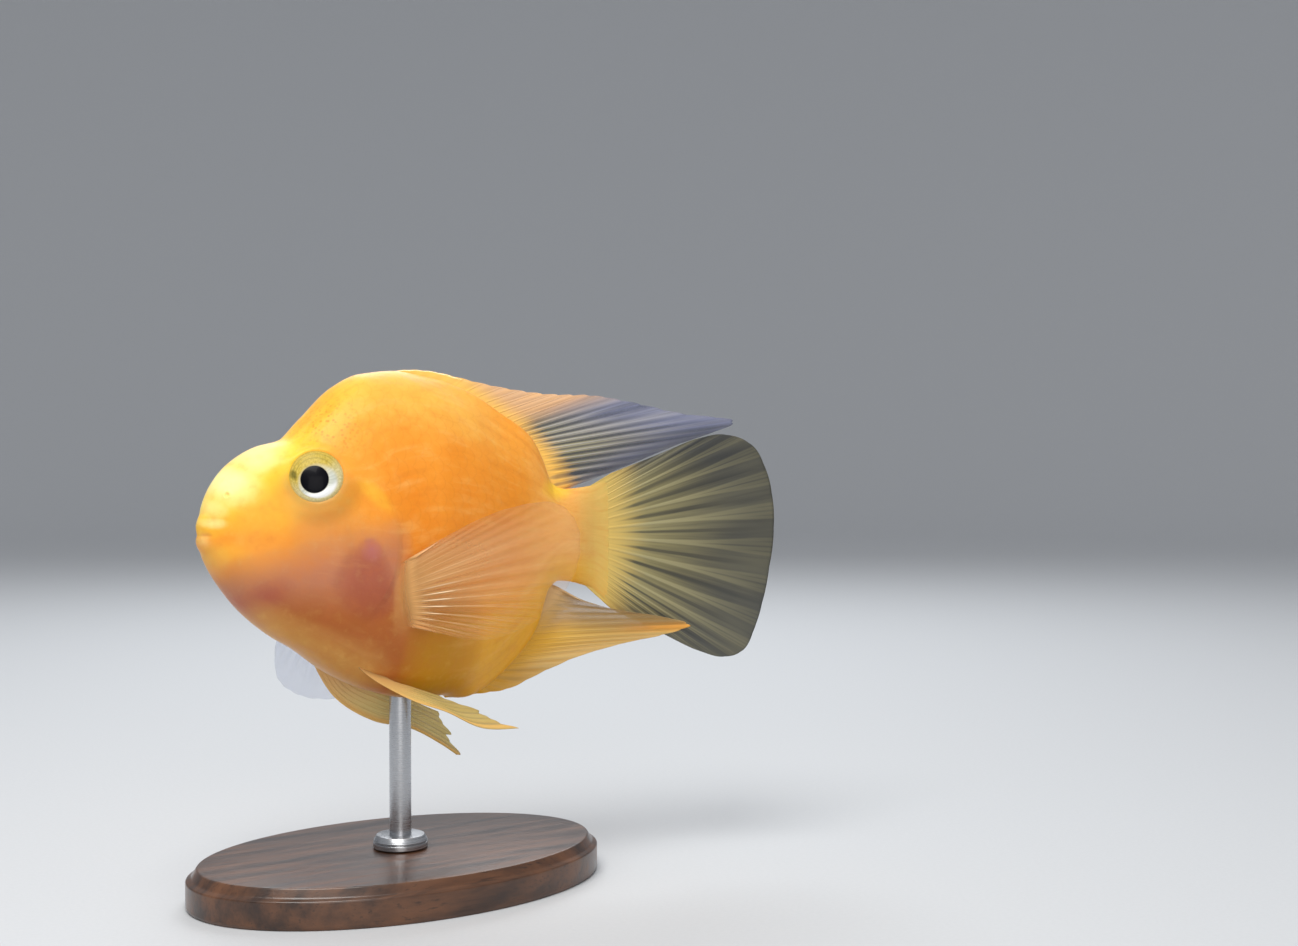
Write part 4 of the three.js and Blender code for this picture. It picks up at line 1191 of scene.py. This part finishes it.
edge = BASE_LENGTH / 2
base_profile = rounded([(NEAR_AXIS, 0), (edge - 0.5, 0), (edge, 0.8), (edge, 6.4), (edge - 1.3, 7.0),
                        (edge - 2.6, BASE_HEIGHT), (NEAR_AXIS, BASE_HEIGHT)], 0.35)
base = turned_piece("stand_foot", "stand_base", base_profile,
                    stretch=(1, BASE_WIDTH / BASE_LENGTH))
wood = new_material("stained_wood", base)
board = wood.stretched(wood.object_place(), 26.0, 210.0, 130.0)
figure = wood.noise(board, 1.0, 5, 0.62)
pores = wood.noise(wood.stretched(board, 3.0, 9.0, 9.0), 1.0, 3, 0.6)
stain = wood.mix(wood.ramp(figure, 0.3, 0.7), colour(46, 28, 18), colour(104, 66, 40))
stain = wood.mix(wood.ramp(pores, 0.56, 0.72, 0.0, 0.6), stain, colour(24, 14, 9))
wood.surface(
    Base_Color=stain,
    Roughness=wood.ramp(figure, 0.3, 0.7, 0.3, 0.44),
    Normal=wood.bump(wood.minus(figure, wood.times(pores, 0.6)), 0.0001, 0.5),
    Coat_Weight=0.4,
    Coat_Roughness=0.16,
)

rod_foot = place(ROD_STATION, 0.0)
low = BASE_HEIGHT + GAP
high = low + COLLAR_HEIGHT
bore = ROD_RADIUS + COLLAR_CLEARANCE
collar_profile = rounded([(bore, low), (COLLAR_RADIUS, low), (COLLAR_RADIUS, low + 1.2),
                          (COLLAR_RADIUS - 0.35, low + 1.3), (COLLAR_RADIUS - 0.35, low + 1.55),
                          (COLLAR_RADIUS, low + 1.65), (COLLAR_RADIUS - 0.8, high), (bore, high)], 0.12)
collar = turned_piece("stand_ring", "stand_collar", collar_profile, centre=rod_foot[:2])
rod_top = float(belly(ROD_STATION)) + ROD_SUNK
rod_profile = rounded([(0.2, low), (ROD_RADIUS, low), (ROD_RADIUS, rod_top), (0.2, rod_top)], 0.2)
rod = turned_piece("stand_post", "stand_rod", rod_profile, centre=rod_foot[:2], around=96)
steel = new_material("brushed_steel", collar, rod)
brushing = steel.noise(steel.stretched(steel.object_place(), 60.0, 60.0, 5200.0), 1.0, 3, 0.6)
steel.surface(
    Base_Color=steel.mix(brushing, colour(168, 170, 174), colour(206, 207, 210)),
    Metallic=1.0,
    Roughness=steel.ramp(brushing, 0.3, 0.7, 0.22, 0.38),
    Normal=steel.bump(brushing, 0.00002, 0.5),
)

# Room: a pale round floor of matt paper that curves up into a low wall, lit softly from above by three
# broad lamps and an even grey sky.
FLOOR_RADII = (250.0, 700.0, 1400.0)
WALL_RADIUS = 900.0
WALL_RINGS = 13
ROOM_SIDES = 96
sweep = [(radius, 0.0) for radius in FLOOR_RADII]
for a in np.linspace(0, math.pi / 2, WALL_RINGS + 1)[1:]:
    sweep.append((FLOOR_RADII[-1] + WALL_RADIUS * math.sin(a), WALL_RADIUS * (1 - math.cos(a))))
cove_points = [(0, 0, 0)]
for radius, level in sweep:
    for a in np.linspace(0, 2 * math.pi, ROOM_SIDES, endpoint=False):
        cove_points.append((radius * math.cos(a), radius * math.sin(a), level))
cove_faces = fan_faces(0, 1, ROOM_SIDES).tolist()
cove_faces += ring_faces(len(sweep), ROOM_SIDES, first=1)[:, OTHER_WAY_ROUND].tolist()
cove = add_object("studio_floor", np.array(cove_points, float), cove_faces)
paper = new_material("floor_paper", cove)
tooth = paper.noise(paper.object_place(), 900, 3)
paper.surface(Base_Color=paper.mix(tooth, colour(198, 200, 203), colour(204, 206, 209)), Roughness=0.85,
              Normal=paper.bump(tooth, 0.00005, 0.3))

FISH_MIDDLE = Vector((0.01, 0.0, 0.084))


def soft_light(name, at, size, power, tint):
    data = bpy.data.lights.new(name, "AREA")
    data.size = size
    data.energy = power
    data.color = tint
    light = bpy.data.objects.new(name, data)
    light.location = at
    light.visible_camera = False
    light.rotation_euler = (FISH_MIDDLE - Vector(at)).to_track_quat("-Z", "Y").to_euler()
    bpy.context.scene.collection.objects.link(light)


soft_light("key_light", (-0.26, -0.24, 0.72), 0.45, 5.0, (1.0, 0.985, 0.95))
soft_light("fill_light", (-0.638, -1.35, 0.509), 0.9, 5.5, (1.0, 0.97, 0.93))
soft_light("rim_light", (0.35, 0.5, 0.6), 0.5, 3.0, (0.95, 0.98, 1.0))

SKY_STRENGTH = 0.42
world = bpy.data.worlds.new("studio")
world.use_nodes = True
sky = world.node_tree.nodes["Background"].inputs
sky["Color"].default_value = (0.92, 0.95, 1.0, 1.0)
sky["Strength"].default_value = SKY_STRENGTH
bpy.context.scene.world = world
bpy.context.scene.view_settings.view_transform = "Standard"

# Camera: a plain one with a normal lens. It stands to the left of the fish and ahead of it, a little
# above its eye, and looks slightly down.
CAMERA_AT = Vector((-0.19925, -0.38606, 0.11012))
CAMERA_TURN = math.radians(35.198)
CAMERA_PITCH = math.radians(1.5)
camera_data = bpy.data.cameras.new("camera")
camera_data.lens = 50
camera_data.sensor_width = 36
camera_data.clip_start = 0.01
camera = bpy.data.objects.new("camera", camera_data)
camera.location = CAMERA_AT
level = math.cos(CAMERA_PITCH)
gaze = Vector((math.sin(CAMERA_TURN) * level, math.cos(CAMERA_TURN) * level, -math.sin(CAMERA_PITCH)))
camera.rotation_euler = gaze.to_track_quat("-Z", "Y").to_euler()
bpy.context.scene.collection.objects.link(camera)
bpy.context.scene.camera = camera
